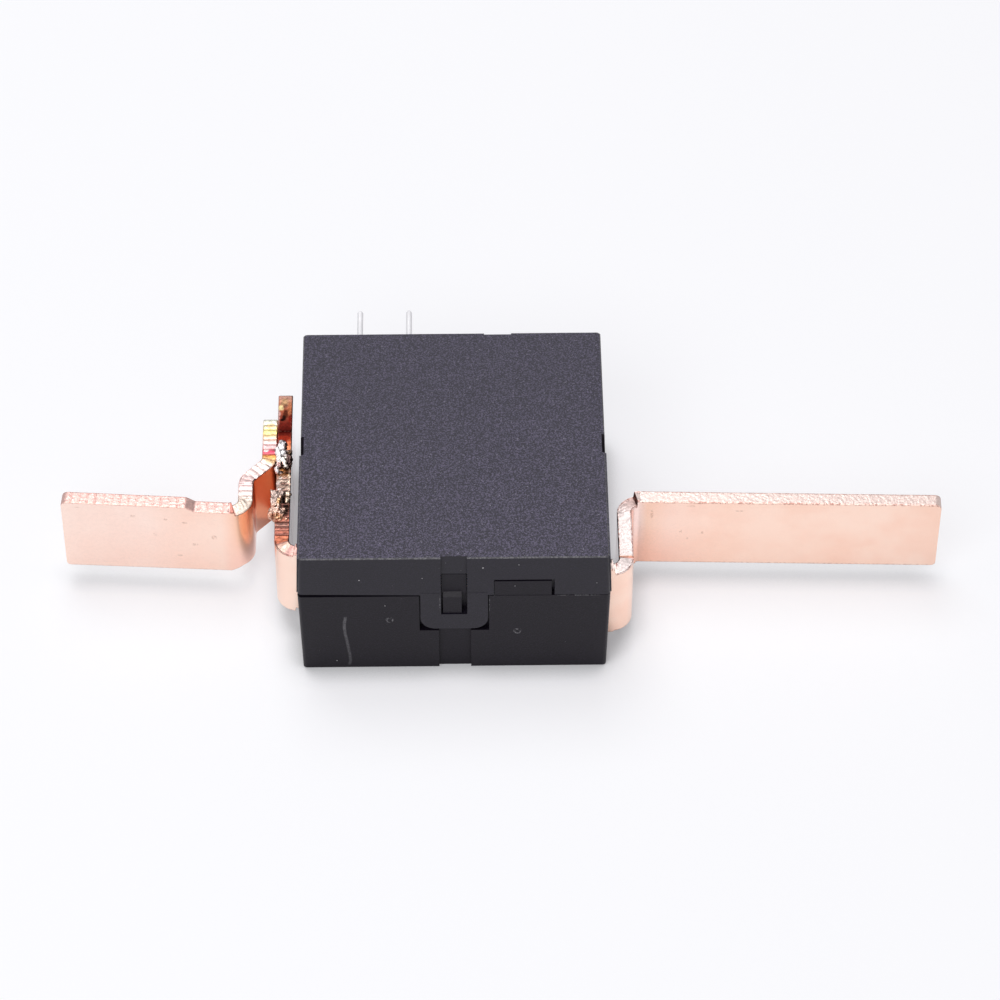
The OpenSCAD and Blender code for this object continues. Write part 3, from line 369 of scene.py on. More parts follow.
def metal_finish(name, light, dark, roughness, drawn=(1, 1, 1), metallic=1):
    """A plated or bare metal with fine lines, drawn out along the axis of a small share."""
    f = Finish(name)
    lines = f.noise(4, 4, 0.6, drawn)
    return f.set(Base_Color=f.blend(f.noise(0.8, 3), light, dark), Metallic=metallic,
        Roughness=f.level(lines, roughness * 0.7, roughness * 1.4),
        Normal=f.bump(lines, 0.008, 0.6))


def nylon_finish(name, light, dark):
    """Pale moulded nylon, a little uneven and translucent."""
    f = Finish(name)
    return f.set(Base_Color=f.blend(f.noise(0.5, 3), light, dark),
        Roughness=f.level(f.noise(3, 2), 0.42, 0.58), Subsurface_Weight=0.05,
        Subsurface_Radius=(0.0004, 0.0004, 0.0003), Normal=f.bump(f.noise(6, 3), 0.01, 0.5))


WIRE_D = 0.1


def wire_finish(name):
    """Enamelled copper wire, wound in close turns along Y."""
    f = Finish(name)
    turns = f.math("ABSOLUTE", f.math("SINE", f.times(f.y, pi / WIRE_D)))
    return f.set(Base_Color=f.blend(f.noise(1.2, 2), (0.6, 0.2, 0.07), (0.48, 0.14, 0.05)),
        Roughness=0.3, Coat_Weight=0.5, Normal=f.bump(turns, 0.06, 0.8))


# Copper strips, swept along their centre lines

FIND_POINTS = 4001


class Route:
    """A plan line of straight stretches with a round bend at each inner corner."""

    def __init__(self, *corners):
        points = [Vector(c) for c in corners]
        # Each part has its start, its first heading, its length and the side it bends to
        self.parts = []
        start = points[0]
        for before, corner, after in zip(points, points[1:], points[2:]):
            way, ahead = (corner - before).normalized(), (after - corner).normalized()
            angle = atan2(way.y, way.x)
            turn = -way.angle_signed(ahead)
            cut = BEND_R * tan(abs(turn) / 2)
            end = corner - way * cut
            self.parts += [(start, angle, (end - start).length, 0),
                (end, angle, abs(turn) * BEND_R, copysign(1, turn))]
            start = corner + ahead * cut
        way = points[-1] - points[-2]
        self.parts.append((start, atan2(way.y, way.x), (points[-1] - start).length, 0))
        self.ends = np.cumsum([0] + [part[2] for part in self.parts])
        self.length = self.ends[-1]

    def at(self, s):
        """Point, heading and bend side at a distance along the line."""
        i = int(np.searchsorted(self.ends[1:-1], s, side="right"))
        start, angle, _, side = self.parts[i]
        gone = float(s - self.ends[i])
        if not side:
            return start + gone * Vector((cos(angle), sin(angle))), angle, 0
        centre = start + side * BEND_R * Vector((-sin(angle), cos(angle)))
        now = angle + side * gone / BEND_R
        return centre + side * BEND_R * Vector((sin(now), -cos(now))), now, side

    def bend(self, i):
        """Where bend number i starts and ends."""
        return self.ends[2 * i + 1:2 * i + 3]

    def find(self, axis, value):
        """The last distance at which the line's x or y has this value."""
        s = np.linspace(0, self.length, FIND_POINTS)
        off = np.array([getattr(self.at(v)[0], axis) for v in s]) - value
        cross = np.nonzero(off[:-1] * off[1:] <= 0)[0]
        return float(s[cross[-1]])


# Usual and least distance between two rings of a strip's mesh
STEP = 0.08
LEAST_STEP = 0.006
# Points of a ring: across each edge, up each face and round each corner
EDGE_COLUMNS = 11
FACE_ROWS = 9
CORNER_STEPS = 3
# Width of a step of an edge, and how far a bend squeezes the edge up at its inner side
STEP_W = 0.06
BEND_SQUEEZE = 0.09
# The bright sides of the strips beside the case: tone, share and reach from its wall. The pale
# lilac tone is a painted reflection of the floor in the gap
SIDE_REFLECTION_TINT = (*tone(252, 240, 244), 0.85)
SIDE_REACH = 2.8
# Share of the painted tones on the faces turned away from the camera
HIDDEN_SHARE = 0.12


def ring_profile():
    """Points round a strip's section: kind, place across, place upward and corner angle.

    Across runs from -1 to 1, and upward from 0 at the lower edge to 1 at the upper one.
    """
    face = np.concatenate([[0, 0.012], np.linspace(0.04, 0.96, FACE_ROWS), [0.988, 1]])
    arc = np.linspace(0, pi / 2, CORNER_STEPS + 2)[1:-1]
    edge = np.linspace(1, -1, EDGE_COLUMNS + 2)
    rows = []
    for side, end in ((1, 1), (-1, 0)):
        rows += [("face", side, t if end else 1 - t, 0) for t in face]
        rows += [("corner", side, end, a) for a in arc]
        rows += [("edge", side * u, end, 0) for u in edge]
        rows += [("corner", -side, end, pi / 2 - a) for a in arc]
    return rows


PROFILE = ring_profile()


def grain(x, y, z, size):
    """Smooth random height between about -1 and 1, with features of this size."""
    return noise.noise(Vector((x / size, y / size, z / size)))


def along(rows, s):
    """The value between rows, which start with their distance along the strip."""
    table = np.array(rows, float)
    return np.array([np.interp(s, table[:, 0], column) for column in table[:, 1:].T])


def over(under, tone_above, share):
    """A colour with a share, laid over another one."""
    whole = share + under[3] * (1 - share)
    colour = under[:3] + (np.array(tone_above) - under[:3]) * (share / max(whole, 1e-6))
    return np.array([*colour, whole])


def spots(*rows):
    """Oval patches: the middle's x and y, the radii, a display colour and its share."""
    return [(*place, tone(*shade), share) for *place, shade, share in rows]


def patched(under, patches, x, y):
    """Lays oval patches over a colour."""
    for px, py, rx, ry, patch_tone, share in patches:
        away = hypot((x - px) / rx, (y - py) / ry)
        away += 0.35 * grain(x, y, px, 0.35)
        if away < 1.3:
            under = over(under, patch_tone, share * float(np.clip((1.3 - away) / 0.6, 0, 1)))
    return under


def round_in(gap, r):
    """How far a corner of radius r stands in at this distance from the end."""
    return 0.0 if gap >= r else r - sqrt(max(r * r - (r - gap) ** 2, 0))


def heights(z, *steps):
    """Height line of an edge from its first height.

    A step has the distance of its middle, the height after it and, if unusual, its width.
    """
    rows = [(0, z)]
    for s, after, *width in steps:
        half = (width or [STEP_W])[0] / 2
        rows += [(s - half, z), (s + half, after)]
        z = after
    return rows


def tube(count, n):
    """Faces of a closed tube through this many rings of n points."""
    last = (count - 1) * n
    sides = [(i + k, i + (k + 1) % n, i + n + (k + 1) % n, i + n + k)
        for i in range(0, last, n) for k in range(n)]
    return [*sides, tuple(range(n - 1, -1, -1)), tuple(range(last, last + n))]


@dataclass
class Strip:
    """One flat strip on edge, swept along its route, with sheared upper and lower edges.

    Its ribs are scallops across the edges. Each run of them has its first and last distance,
    its pitch, its depth, its sharpness and the share of painted shade in its grooves.
    """

    name: str
    route: Route
    lows: list
    highs: list
    end_radii: tuple = ((0, 0), (0, 0))
    granular: float = 0.02
    shown_side: int = 1
    border: float = 0.75
    ribs: tuple = ()
    top_tones: tuple = ()
    face_tones: tuple = ()
    patches: tuple = ()

    def top(self, *rows):
        """Tones of the upper edge: distance along the strip, display colour and share."""
        self.top_tones = [(s, *tone(*shade), share) for s, shade, share in rows]

    def face(self, *rows):
        """Tones of the faces: distance, display colours above and below, and share."""
        self.face_tones = [(s, *tone(*above), *tone(*below), share)
            for s, above, below, share in rows]

    def stations(self):
        """Distances of the rings: even ones, closer ones at the ends and at the steps."""
        length = self.route.length
        marks = [*np.arange(0, length, STEP), length]
        for radii, end in zip(self.end_radii, (0, length)):
            for reach, count in ((max(*radii, CORNER_R), 9), (CORNER_R, 4)):
                close = reach * (1 - np.cos(np.linspace(0, pi / 2, count)))
                marks += list(abs(end - close))
        for rows in (self.lows, self.highs):
            for (s0, z0), (s1, z1) in zip(rows, rows[1:]):
                if abs(s1 - s0) < 0.5 and z0 != z1:
                    marks += list(np.linspace(s0 - 0.02, s1 + 0.02, 7))
        marks = np.unique(np.clip(np.round(marks, 4), 0, length))
        keep = [marks[0]]
        for mark in marks[1:]:
            if mark - keep[-1] > LEAST_STEP or mark == length:
                keep.append(mark)
        return keep

    def rib_height(self, s, u):
        """Depth of the scallops here and the share of painted shade in their grooves."""
        for start, end, pitch, depth, sharp, groove in self.ribs:
            if start <= s <= end:
                sway = 0.05 * grain(s, u * 0.6, 5, 0.9)
                off = abs(2 * (((s - start) / pitch + sway) % 1) - 1)
                uneven = 0.75 + 0.5 * grain(round((s - start) / pitch), u, 9, 1.7)
                return -depth * uneven * off ** sharp, groove * off ** 7
        return 0, 0

    def build(self, body, material, holes=()):
        """The mesh object, with holes through its first plate, riding on a body."""
        stations = self.stations()
        table = np.array([row for s in stations for row in self.ring(s)])
        piece = mesh_piece(self.name, table[:, :3], tube(len(stations), len(PROFILE)), material)
        for key, column in zip(SHARES, table[:, 3:7].T):
            layer = piece.data.attributes.new(key, "FLOAT", "POINT")
            layer.data.foreach_set("value", column.astype(np.float32))
        set_tint(piece.data, table[:, 7:])
        for face in list(piece.data.polygons)[-2:]:
            face.use_smooth = False
        if holes:
            drill(piece, holes, self.route.at(0)[0].y)
        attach(piece, body)
        return piece

    def ring(self, s):
        """The points of the section at this distance, each with its shares and its tint."""
        point, heading, side = self.route.at(s)
        across = Vector((-sin(heading), cos(heading)))
        left = self.route.length - s
        gap = min(s, left)
        r_lo, r_hi = self.end_radii[0 if s < left else 1]
        lo = np.interp(s, *zip(*self.lows)) + round_in(gap, r_lo)
        hi = np.interp(s, *zip(*self.highs)) - round_in(gap, r_hi)
        half = STRIP_T / 2 - round_in(gap, CORNER_R)
        flat = half - CORNER_R
        before, after = np.interp([s - 0.02, s + 0.02], *zip(*self.highs))
        steep = abs(after - before) > 0.1
        top_tone = along(self.top_tones, s)
        face_tone = along(self.face_tones, s)
        beside = HALF_W < abs(point.x) < HALF_W + SIDE_REACH
        for kind, u, t, turn in PROFILE:
            upper = t > 0.5
            off, z = u * flat, hi if upper else lo
            push, edge, line, groove, polish = 0, 0, 0, 0, 0
            if kind == "face":
                off, z = u * half, lo + CORNER_R + t * (hi - lo - 2 * CORNER_R)
                line = 0.8 * self.border if t in (0, 1) else 0
                polish = beside and across.x * u * point.x < -0.7 * abs(point.x)
            else:
                off += u * CORNER_R * cos(turn) if kind == "corner" else 0
                height, groove = self.rib_height(s, off)
                edge, line = 1, min(self.border + groove, 1)
                push = 0.35 * self.granular * grain(s, 7 * u, 3, 0.3)
            if kind == "corner":
                z += CORNER_R * (1 - sin(turn)) * (-1 if upper else 1)
                edge = 1 if steep else 0.5
                push += 0.8 * height * sin(turn)
            elif kind == "edge":
                line = 1 if steep else line if abs(u) == 1 else 0
                push += height + self.granular * grain(point.x, point.y + off, z, 0.22)
                push += 0.5 * self.granular * grain(point.x, point.y + off, z + 3, 0.09)
                push += BEND_SQUEEZE * side * off / flat
            xy = point + across * off
            # On the sides beside the case, a painted reflection of the pale floor
            if polish:
                tint = SIDE_REFLECTION_TINT
            elif kind != "face" and upper:
                tint = patched(top_tone, self.patches, xy.x, xy.y)
            else:
                lift = np.clip((t - 0.2) / 0.45, 0, 1)
                mixed = face_tone[3:6] + lift * (face_tone[:3] - face_tone[3:6])
                shown = 1 if u * self.shown_side > 0 else HIDDEN_SHARE
                tint = (*mixed, face_tone[6] * shown)
            yield xy.x, xy.y, z + (push if upper else -push), edge, line, groove, polish, *tint


def set_tint(mesh, tints):
    """Stores a colour with a share for each point of the mesh."""
    layer = mesh.attributes.new("tint", "FLOAT_COLOR", "POINT")
    layer.data.foreach_set("color", np.array(tints, np.float32).ravel())


def mesh_piece(name, verts, faces, material):
    """A mesh object from points in millimetres."""
    mesh = bpy.data.meshes.new(name)
    mesh.from_pydata([[c * MM for c in v] for v in verts], [], faces)
    mesh.validate()
    mesh.polygons.foreach_set("use_smooth", [True] * len(mesh.polygons))
    mesh.materials.append(material)
    mesh.update()
    return add_object(name, mesh)


def add_object(name, data):
    """A new object of the scene."""
    added = bpy.data.objects.new(name, data)
    bpy.context.scene.collection.objects.link(added)
    return added


def circle(count):
    """The angles of even steps round a full turn."""
    return np.linspace(0, 2 * pi, count + 1)[:-1]


HOLE_SIDES = 40


def drill(piece, holes, plate_y):
    """Cuts round holes along Y through a plate, each with its x, its z and its radius."""
    for x, z, r in holes:
        verts = [(x + r * cos(a), y, z + r * sin(a))
            for y in (plate_y - STRIP_T, plate_y + STRIP_T) for a in circle(HOLE_SIDES)]
        cut = piece.modifiers.new("hole", "BOOLEAN")
        cut.object = mesh_piece("cutter", verts, tube(2, HOLE_SIDES), piece.data.materials[0])
        cut.operation = "DIFFERENCE"
        cut.solver = "EXACT"
    cutters = [cut.object for cut in piece.modifiers]
    apply_modifiers(piece)
    for cutter in cutters:
        bpy.data.objects.remove(cutter)


def apply_modifiers(piece):
    """Replaces the piece's mesh by what its modifiers make of it."""
    graph = bpy.context.evaluated_depsgraph_get()
    mesh = bpy.data.meshes.new_from_object(piece.evaluated_get(graph))
    piece.modifiers.clear()
    piece.data = mesh


copper = copper_finish("copper", (1, 0.765, 0.645), (0.975, 0.665, 0.535))
manganin = copper_finish("manganin", (0.62, 0.52, 0.42), (0.46, 0.36, 0.28))

# Right terminal: contact plate, stub, bend, run and arm
RIGHT_RUN_X = HALF_W + 1
RIGHT_ARM_Y = -2.55
RIGHT_SKEW = radians(1.7)
RIGHT_CREASE_Y = -10.2
RIGHT_ARM_Z = (2, 11.1)
RIGHT_RUN_Z = (1.75, 10.35)
# Corner radii at the free ends of the arms, below and above
ARM_R = (0.5, 0.65)
# Holes of the contacts and the rivets, each with its radius
CONTACT_X = 8.0
CONTACT_R = 0.7
RIVET_X = (-11.7, -7.9)
RIVET_R = 0.75
HOLE_Z = (5, 9)
# Display colours of the copper's tones
PEACH = (254, 214, 196)
STEP_DARK = (96, 44, 44)


def fixed_terminal():
    lo, hi = mm_box("fixed_terminal")
    stub_y = lo.y + STRIP_T / 2
    run_x = RIGHT_RUN_X + STRIP_T / 2
    end_x = hi.x - STRIP_T / 2 * sin(RIGHT_SKEW)
    route = Route((lo.x, stub_y), (run_x, stub_y), (run_x, RIGHT_ARM_Y),
        (end_x, RIGHT_ARM_Y - (end_x - run_x) * tan(RIGHT_SKEW)))
    stub_end = route.find("x", HALF_W + STUB_OUT)
    arm_start = route.find("x", run_x + STRIP_T / 2 + STUB_OUT)
    lows, highs = [heights(first, (stub_end, run), (arm_start, arm)) for first, run, arm
        in zip((lo.z, hi.z), RIGHT_RUN_Z, RIGHT_ARM_Z)]
    strip = Strip("fixed_terminal_strip", route, lows, highs, ((0, 0), ARM_R),
        granular=0.016, shown_side=-1)
    bend_start, bend_end = route.bend(1)
    crease = route.find("y", RIGHT_CREASE_Y)
    blush = (255, 240, 237)
    strip.top((stub_end, blush, 0), (stub_end + 0.8, blush, 0.9), (crease - 0.1, blush, 0.9),
        (crease, (184, 104, 84), 0.9), (crease + 0.2, (214, 160, 130), 0.9),
        (crease + 0.32, blush, 0.9), (bend_start, blush, 0.9),
        # A dark tone across the upper edge where it steps up to the arm
        (arm_start - 0.08, (255, 214, 206), 0.8), (arm_start - 0.05, STEP_DARK, 0.9),
        (arm_start + 0.05, STEP_DARK, 0.9), (arm_start + 0.1, blush, 0.3),
        (arm_start + 3, blush, 0))
    strip.patches = spots((16.25, -10.9, 0.1, 0.6, (150, 70, 56), 0.9))
    # The darker, more orange lower tones about the bend and along the arm are a painted
    # reflection of the shaded floor and of the bend's copper
    strip.face((bend_start - 1, (255, 220, 212), (255, 206, 186), 0),
        (bend_start + 1, (255, 224, 220), (255, 196, 174), 0.7),
        (bend_end, (255, 228, 222), (255, 200, 180), 0.7),
        (bend_end + 0.8, (255, 212, 188), (252, 190, 166), 0.65),
        (bend_end + 3, (255, 218, 204), (248, 192, 172), 0.5),
        (bend_end + 9, PEACH, (252, 200, 176), 0.25), (route.length, PEACH, PEACH, 0.1))
    piece = strip.build("case", copper, [(CONTACT_X, z, CONTACT_R) for z in HOLE_Z])
    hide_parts("fixed_terminal")


# Left terminal, shunt and load bar
left_lo, left_hi = mm_box("moving_terminal")
STUB_LO = 2.9
# How much lower than the run the upper edge of a bend is
BEND_LOWER = 0.08
LEFT_RUN_X = -HALF_W - 1 - STRIP_T / 2
LEFT_RUN_Z = (2.45, 10.85)
CREAM = (240, 218, 196)
# Soot black, also used for painted shade in the gaps at the welds
SOOT_AND_SHADE = (40, 28, 26)
ORANGE = (174, 90, 58)
CREAM_BEND = (218, 186, 170)
TAIL_R = 0.2
# The tail's upper edge is lower than its end up to this distance
TAIL_STEP = (2.9, 0.16)


def moving_terminal():
    stub_y = left_lo.y + STRIP_T / 2
    route = Route((left_hi.x, stub_y), (LEFT_RUN_X, stub_y), (LEFT_RUN_X, left_hi.y))
    stub_end = route.find("x", -HALF_W - STUB_OUT)
    bend_end = route.bend(0)[1]
    rib_start = bend_end + 0.15
    highs = heights(left_hi.z, (stub_end, LEFT_RUN_Z[1] - BEND_LOWER),
        (rib_start, LEFT_RUN_Z[1]))
    lows = heights(STUB_LO, (stub_end, LEFT_RUN_Z[0]))
    strip = Strip("moving_terminal_strip", route, lows, highs, granular=0.035)
    strip.ribs = [(rib_start, route.length, 0.58, 0.13, 2, 0.5)]
    y0 = bend_end - route.at(bend_end)[0].y
    flesh, band = (216, 170, 160), (176, 130, 124)
    strip.top((stub_end + 0.1, flesh, 0.9), (stub_end + 0.35, band, 0.9),
        (stub_end + 0.6, band, 0.9), (stub_end + 0.85, CREAM_BEND, 0.9),
        (y0 - 8.6, CREAM_BEND, 0.9), (y0 - 8.35, (190, 146, 126), 0.9),
        (y0 - 8.2, (112, 48, 34), 0.8), (y0 - 8.05, ORANGE, 0.95),
        (y0 - 7.5, (206, 118, 84), 0.95), (y0 - 7.1, (106, 32, 22), 0.95),
        (y0 - 6.55, (214, 130, 106), 0.95), (y0 - 6.2, (106, 48, 40), 0.95),
        (y0 - 5.9, (190, 134, 118), 0.9), (y0 - 5.6, (84, 44, 36), 0.95),
        (y0 - 5.2, (162, 86, 62), 0.95), (y0 - 4.4, (120, 64, 52), 0.95))
    # Painted shade: a black patch in the gap beside the front weld
    strip.patches = spots((-16.85, -3.6, 0.35, 0.85, (26, 16, 14), 0.95))
    strip.face((stub_end, PEACH, PEACH, 0), (bend_end, (252, 206, 190), PEACH, 0.3),
        (route.length, (255, 222, 206), (255, 216, 200), 0.8))
    piece = strip.build("case", copper, [(x, z, RIVET_R) for x in RIVET_X for z in HOLE_Z])
    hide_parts("moving_terminal")


def shunt_plate():
    lo, hi = mm_box("shunt_plate")
    route = Route((LEFT_RUN_X, lo.y), (LEFT_RUN_X, hi.y))
    strip = Strip("shunt_plate_strip", route, heights(lo.z), heights(hi.z), granular=0.1)
    strip.ribs = [(0.6, route.length - 0.6, 0.8, 0.14, 2, 0.6)]
    strip.top((0, (120, 90, 80), 1), (1.6, (205, 180, 165), 1),
        (2.6, (176, 146, 132), 1), (3.4, (214, 188, 172), 1),
        (4.2, (150, 100, 66), 1), (4.7, (186, 124, 74), 1), (5.4, SOOT_AND_SHADE, 1))
    # The near-white patches are painted highlights
    strip.patches = spots((-17.55, 0.95, 0.14, 0.14, (255, 248, 240), 1),
        (-17.85, 0.1, 0.25, 0.35, (244, 232, 226), 0.9),
        (-17.3, 0.25, 0.35, 0.18, (90, 62, 52), 0.9),
        (-17.75, -0.6, 0.35, 0.12, (248, 240, 236), 0.9),
        (-17.2, -0.95, 0.3, 0.3, (196, 160, 146), 0.9),
        (-16.65, 1, 0.16, 0.5, (216, 196, 160), 0.9),
        (-16.6, -0.8, 0.2, 2.3, (238, 216, 196), 0.95),
        # Painted shade in the gap beside the front weld
        (-17.15, -2.3, 0.25, 1, (20, 16, 15), 1))
    strip.face((0, (240, 222, 208), (236, 214, 196), 1),
        (route.length, (232, 210, 190), (236, 214, 196), 1))
    piece = strip.build("case", manganin)
    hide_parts("shunt_plate")


def shunt_tail():
    lo, hi = mm_box("shunt_tail")
    step_y, low = TAIL_STEP
    route = Route((LEFT_RUN_X, lo.y), (LEFT_RUN_X, hi.y))
    strip = Strip("shunt_tail_strip", route, heights(lo.z), heights(hi.z - low, (step_y, hi.z)),
        ((0, 0), (TAIL_R, TAIL_R)), border=0.4)
    shaded_red, brown = (106, 28, 20), (138, 60, 44)
    # The deep reds about the step are painted shade on the low part in front of it and a painted
    # reflection of the step's face
    strip.top((0, SOOT_AND_SHADE, 1), (1.2, (176, 60, 35), 1), (1.6, (140, 40, 26), 1),
        (2, (158, 48, 28), 1), (2.5, (116, 36, 26), 1), (2.85, (84, 20, 16), 1),
        (3.15, shaded_red, 1), (3.9, (122, 38, 28), 1), (4.6, brown, 1),
        (6, (160, 88, 64), 1), (7, (200, 140, 116), 1),
        (route.length, (176, 140, 130), 1))
    strip.patches = spots((-17.98, 9.3, 0.17, 1.1, (224, 190, 186), 0.8),
        (-16.8, 10.4, 0.2, 1, (184, 112, 74), 0.7),
        (-17.35, 11.3, 0.4, 0.5, (184, 150, 108), 0.7),
        (-17.25, 10.7, 0.25, 0.3, (120, 78, 60), 0.7),
        (-17.72, 10.5, 0.26, 0.36, (240, 218, 160), 0.95),
        (-16.68, 8.9, 0.22, 0.55, (130, 28, 18), 0.9),
        (-17.2, 9.6, 0.24, 0.6, (96, 42, 24), 0.9),
        (-17.38, 9.1, 0.2, 0.4, (34, 16, 12), 0.95),
        (-17.55, 8.75, 0.18, 0.16, (8, 7, 6), 1),
        (-16.75, 4.9, 0.3, 0.9, (250, 160, 118), 0.95),
        (-16.72, 5.6, 0.12, 0.5, (200, 90, 50), 0.7))
    strip.face((0, (230, 170, 146), (240, 190, 170), 0.9),
        (3, (230, 160, 136), (240, 190, 170), 0.9),
        (route.length, (216, 176, 150), (240, 200, 184), 0.8))
    piece = strip.build("case", copper)
    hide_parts("shunt_tail")


# Load bar: lap, jog, run and arm
LAP_X = LEFT_RUN_X - STRIP_T
JOG_W = 2.3
JOG_Y = (3.1, 0.6)
LEFT_ARM_Y = -3.78
LEFT_SKEW = radians(4.1)
BAR_RUN_Z = (2.9, 10.75)
BAR_ARM_Z = (2.4, 11.15)
# Where the arm's upper edge slopes up, and the width of the lower edge's step
SLOPE_X = (-26.1, -27)
BAR_STEP_W = 0.9
ARM_EDGE = (246, 188, 180)


def load_bar():
    lo, hi = mm_box("load_bar")
    bar_x = LAP_X - JOG_W
    end_x = lo.x + STRIP_T / 2 * sin(LEFT_SKEW)
    route = Route((LAP_X, hi.y), (LAP_X, JOG_Y[0]), (bar_x, JOG_Y[1]),
        (bar_x, LEFT_ARM_Y), (end_x, LEFT_ARM_Y + (bar_x - end_x) * tan(LEFT_SKEW)))
    arm_start = route.find("x", bar_x - STRIP_T / 2 - STUB_OUT)
    slope = [route.find("x", x) for x in SLOPE_X]
    jog_start, jog_end = route.bend(0)[0], route.bend(1)[1]
    bend_start, bend_end = route.bend(2)
    highs = [*heights(BAR_RUN_Z[1], (bend_start - 0.1, BAR_RUN_Z[1] - BEND_LOWER),
        (arm_start, BAR_ARM_Z[1])), (slope[0], BAR_ARM_Z[1]), (slope[1], hi.z)]
    lows = [*heights(BAR_RUN_Z[0], (arm_start, BAR_ARM_Z[0], BAR_STEP_W)),
        (route.length, lo.z)]
    strip = Strip("load_bar_strip", route, lows, highs, ((0, 0), ARM_R), border=0.35)
    strip.ribs = [(0, jog_start + 0.3, 0.69, 0.07, 2.2, 0.3),
        (jog_start + 0.3, bend_start - 0.15, 0.72, 0.06, 2.2, 0.3),
        (arm_start + 0.1, slope[0], 0.84, 0.05, 5, 0.55),
        (slope[1], route.length - 0.5, 0.83, 0.05, 5, 0.55)]
    pastel, blush = (255, 236, 229), (255, 224, 222)
    strip.top((0, (236, 240, 226), 1), (0.7, (250, 246, 222), 1),
        (1.2, (252, 238, 176), 1), (1.9, (255, 238, 150), 1),
        (2.5, (255, 214, 178), 1), (3.2, (255, 222, 214), 1),
        (3.7, (255, 214, 214), 1), (4.1, (246, 160, 160), 1),
        (4.5, (206, 78, 104), 1), (4.9, (214, 92, 100), 1),
        (5.15, (255, 176, 90), 1), (5.8, (255, 216, 168), 1), (6.3, pastel, 0.95),
        (jog_end - 0.6, blush, 0.9), (jog_end + 0.4, blush, 0.9), (bend_start - 0.5, pastel, 0.9),
        (bend_start + 0.1, (222, 206, 192), 0.95), (arm_start - 0.2, (222, 204, 190), 0.95),
        (arm_start - 0.15, (222, 200, 188), 0.9), (arm_start - 0.05, (150, 72, 60), 0.9),
        (arm_start + 0.25, (176, 100, 84), 0.9), (arm_start + 0.4, ARM_EDGE, 0.6))
    strip.patches = spots((-19.1, 4.6, 0.28, 0.22, (255, 244, 240), 0.95),
        (-18.75, 8.1, 0.4, 0.45, (255, 214, 160), 0.8))
    red, deep, coral = (255, 168, 136), (255, 84, 64), (255, 190, 158)
    dusky, rose = (248, 176, 150), (252, 190, 168)
    # The lower tones on the jog paint the reflection of the shaded floor; the orange about the
    # last bend paints the copper reflected there
    strip.face((jog_start - 0.4, deep, dusky, 1), (jog_start + 0.5, red, dusky, 1),
        (jog_start + 1.3, coral, (240, 150, 116), 1), (jog_end - 0.9, (250, 164, 128), rose, 1),
        (jog_end - 0.35, (248, 168, 134), rose, 1), (jog_end, (222, 130, 104), rose, 1),
        (bend_start, (226, 140, 108), (255, 205, 190), 0.95),
        (bend_start + 0.8, (246, 168, 126), (255, 205, 190), 0.9),
        (bend_start + 1.5, (255, 188, 142), (255, 206, 190), 0.85),
        (bend_end, (255, 212, 192), (255, 212, 196), 0.6),
        (bend_end + 0.8, (255, 226, 212), (255, 226, 212), 0.5),
        (slope[1], (255, 222, 208), (255, 222, 208), 0.55),
        (slope[1] + 4, (255, 231, 221), (255, 226, 214), 0.65))
    piece = strip.build("case", copper)
    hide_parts("load_bar")


# Welds

WELD_VOXEL = 0.05
# Depths and sizes of the lumps of the skin
WELD_LUMPS = ((0.09, 0.55), (0.08, 0.22), (0.04, 0.11))
# Heights between which the lumps grow to their full depth, and the tones to their full share
LUMPS_Z = (9.2, 10)
TONES_Z = (9.6, 10.3)
# A skin with fewer faces than this is a bubble inside another one
BUBBLE_FACES = 50
BALL_RINGS = 8
BALL_SIDES = 12
SEAM_TONE = np.array(tone(236, 214, 202))


def blob_piece(name, drops, plates, seed, patches, body_tone):
    """Melted metal: drops and plates joined into one skin, roughened and toned."""
    verts, faces = [], []
    for points, links in [ball(*drop) for drop in drops] + [block(*plate) for plate in plates]:
        faces += [[len(verts) + k for k in face] for face in links]
        verts += points
    piece = mesh_piece(name, verts, faces, weld_finish(name + "_metal"))
    skin = piece.modifiers.new("skin", "REMESH")
    skin.mode = "VOXEL"
    skin.voxel_size = WELD_VOXEL * MM
    skin.use_smooth_shade = True
    apply_modifiers(piece)
    mesh = piece.data
    drop_bubbles(mesh)
    shift = Vector((seed, 2 * seed, 3 * seed))
    moved, tints = [], []
    plain = np.array([*tone(*body_tone), 1.0])
    for vertex in mesh.vertices:
        p = vertex.co / MM
        push = sum(depth * noise.noise((p + shift) / size) for depth, size in WELD_LUMPS)
        push *= max(np.interp(p.z, LUMPS_Z, (0, 1)), 0.3)
        moved.append(vertex.co + vertex.normal * push * MM)
        share = np.interp(p.z, TONES_Z, (0, 1))
        painted = patched(plain, patches, p.x, p.y)[:3]
        tints.append([*(SEAM_TONE * (1 - share) + painted * share), 1])
    mesh.vertices.foreach_set("co", np.ravel(moved))
    set_tint(mesh, tints)
    mesh.update()
    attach(piece, "case")
    return piece


def drop_bubbles(mesh):
    """Takes out the few closed bubbles that joining the drops leaves inside the skin."""
    skin = bmesh.new()
    skin.from_mesh(mesh)
    left = set(skin.faces)
    while left:
        island = [left.pop()]
        for face in island:
            near = {other for edge in face.edges for other in edge.link_faces} & left
            left -= near
            island += near
        if len(island) < BUBBLE_FACES:
            bmesh.ops.delete(skin, geom=island, context="FACES")
    skin.to_mesh(mesh)
    skin.free()
    mesh.update()


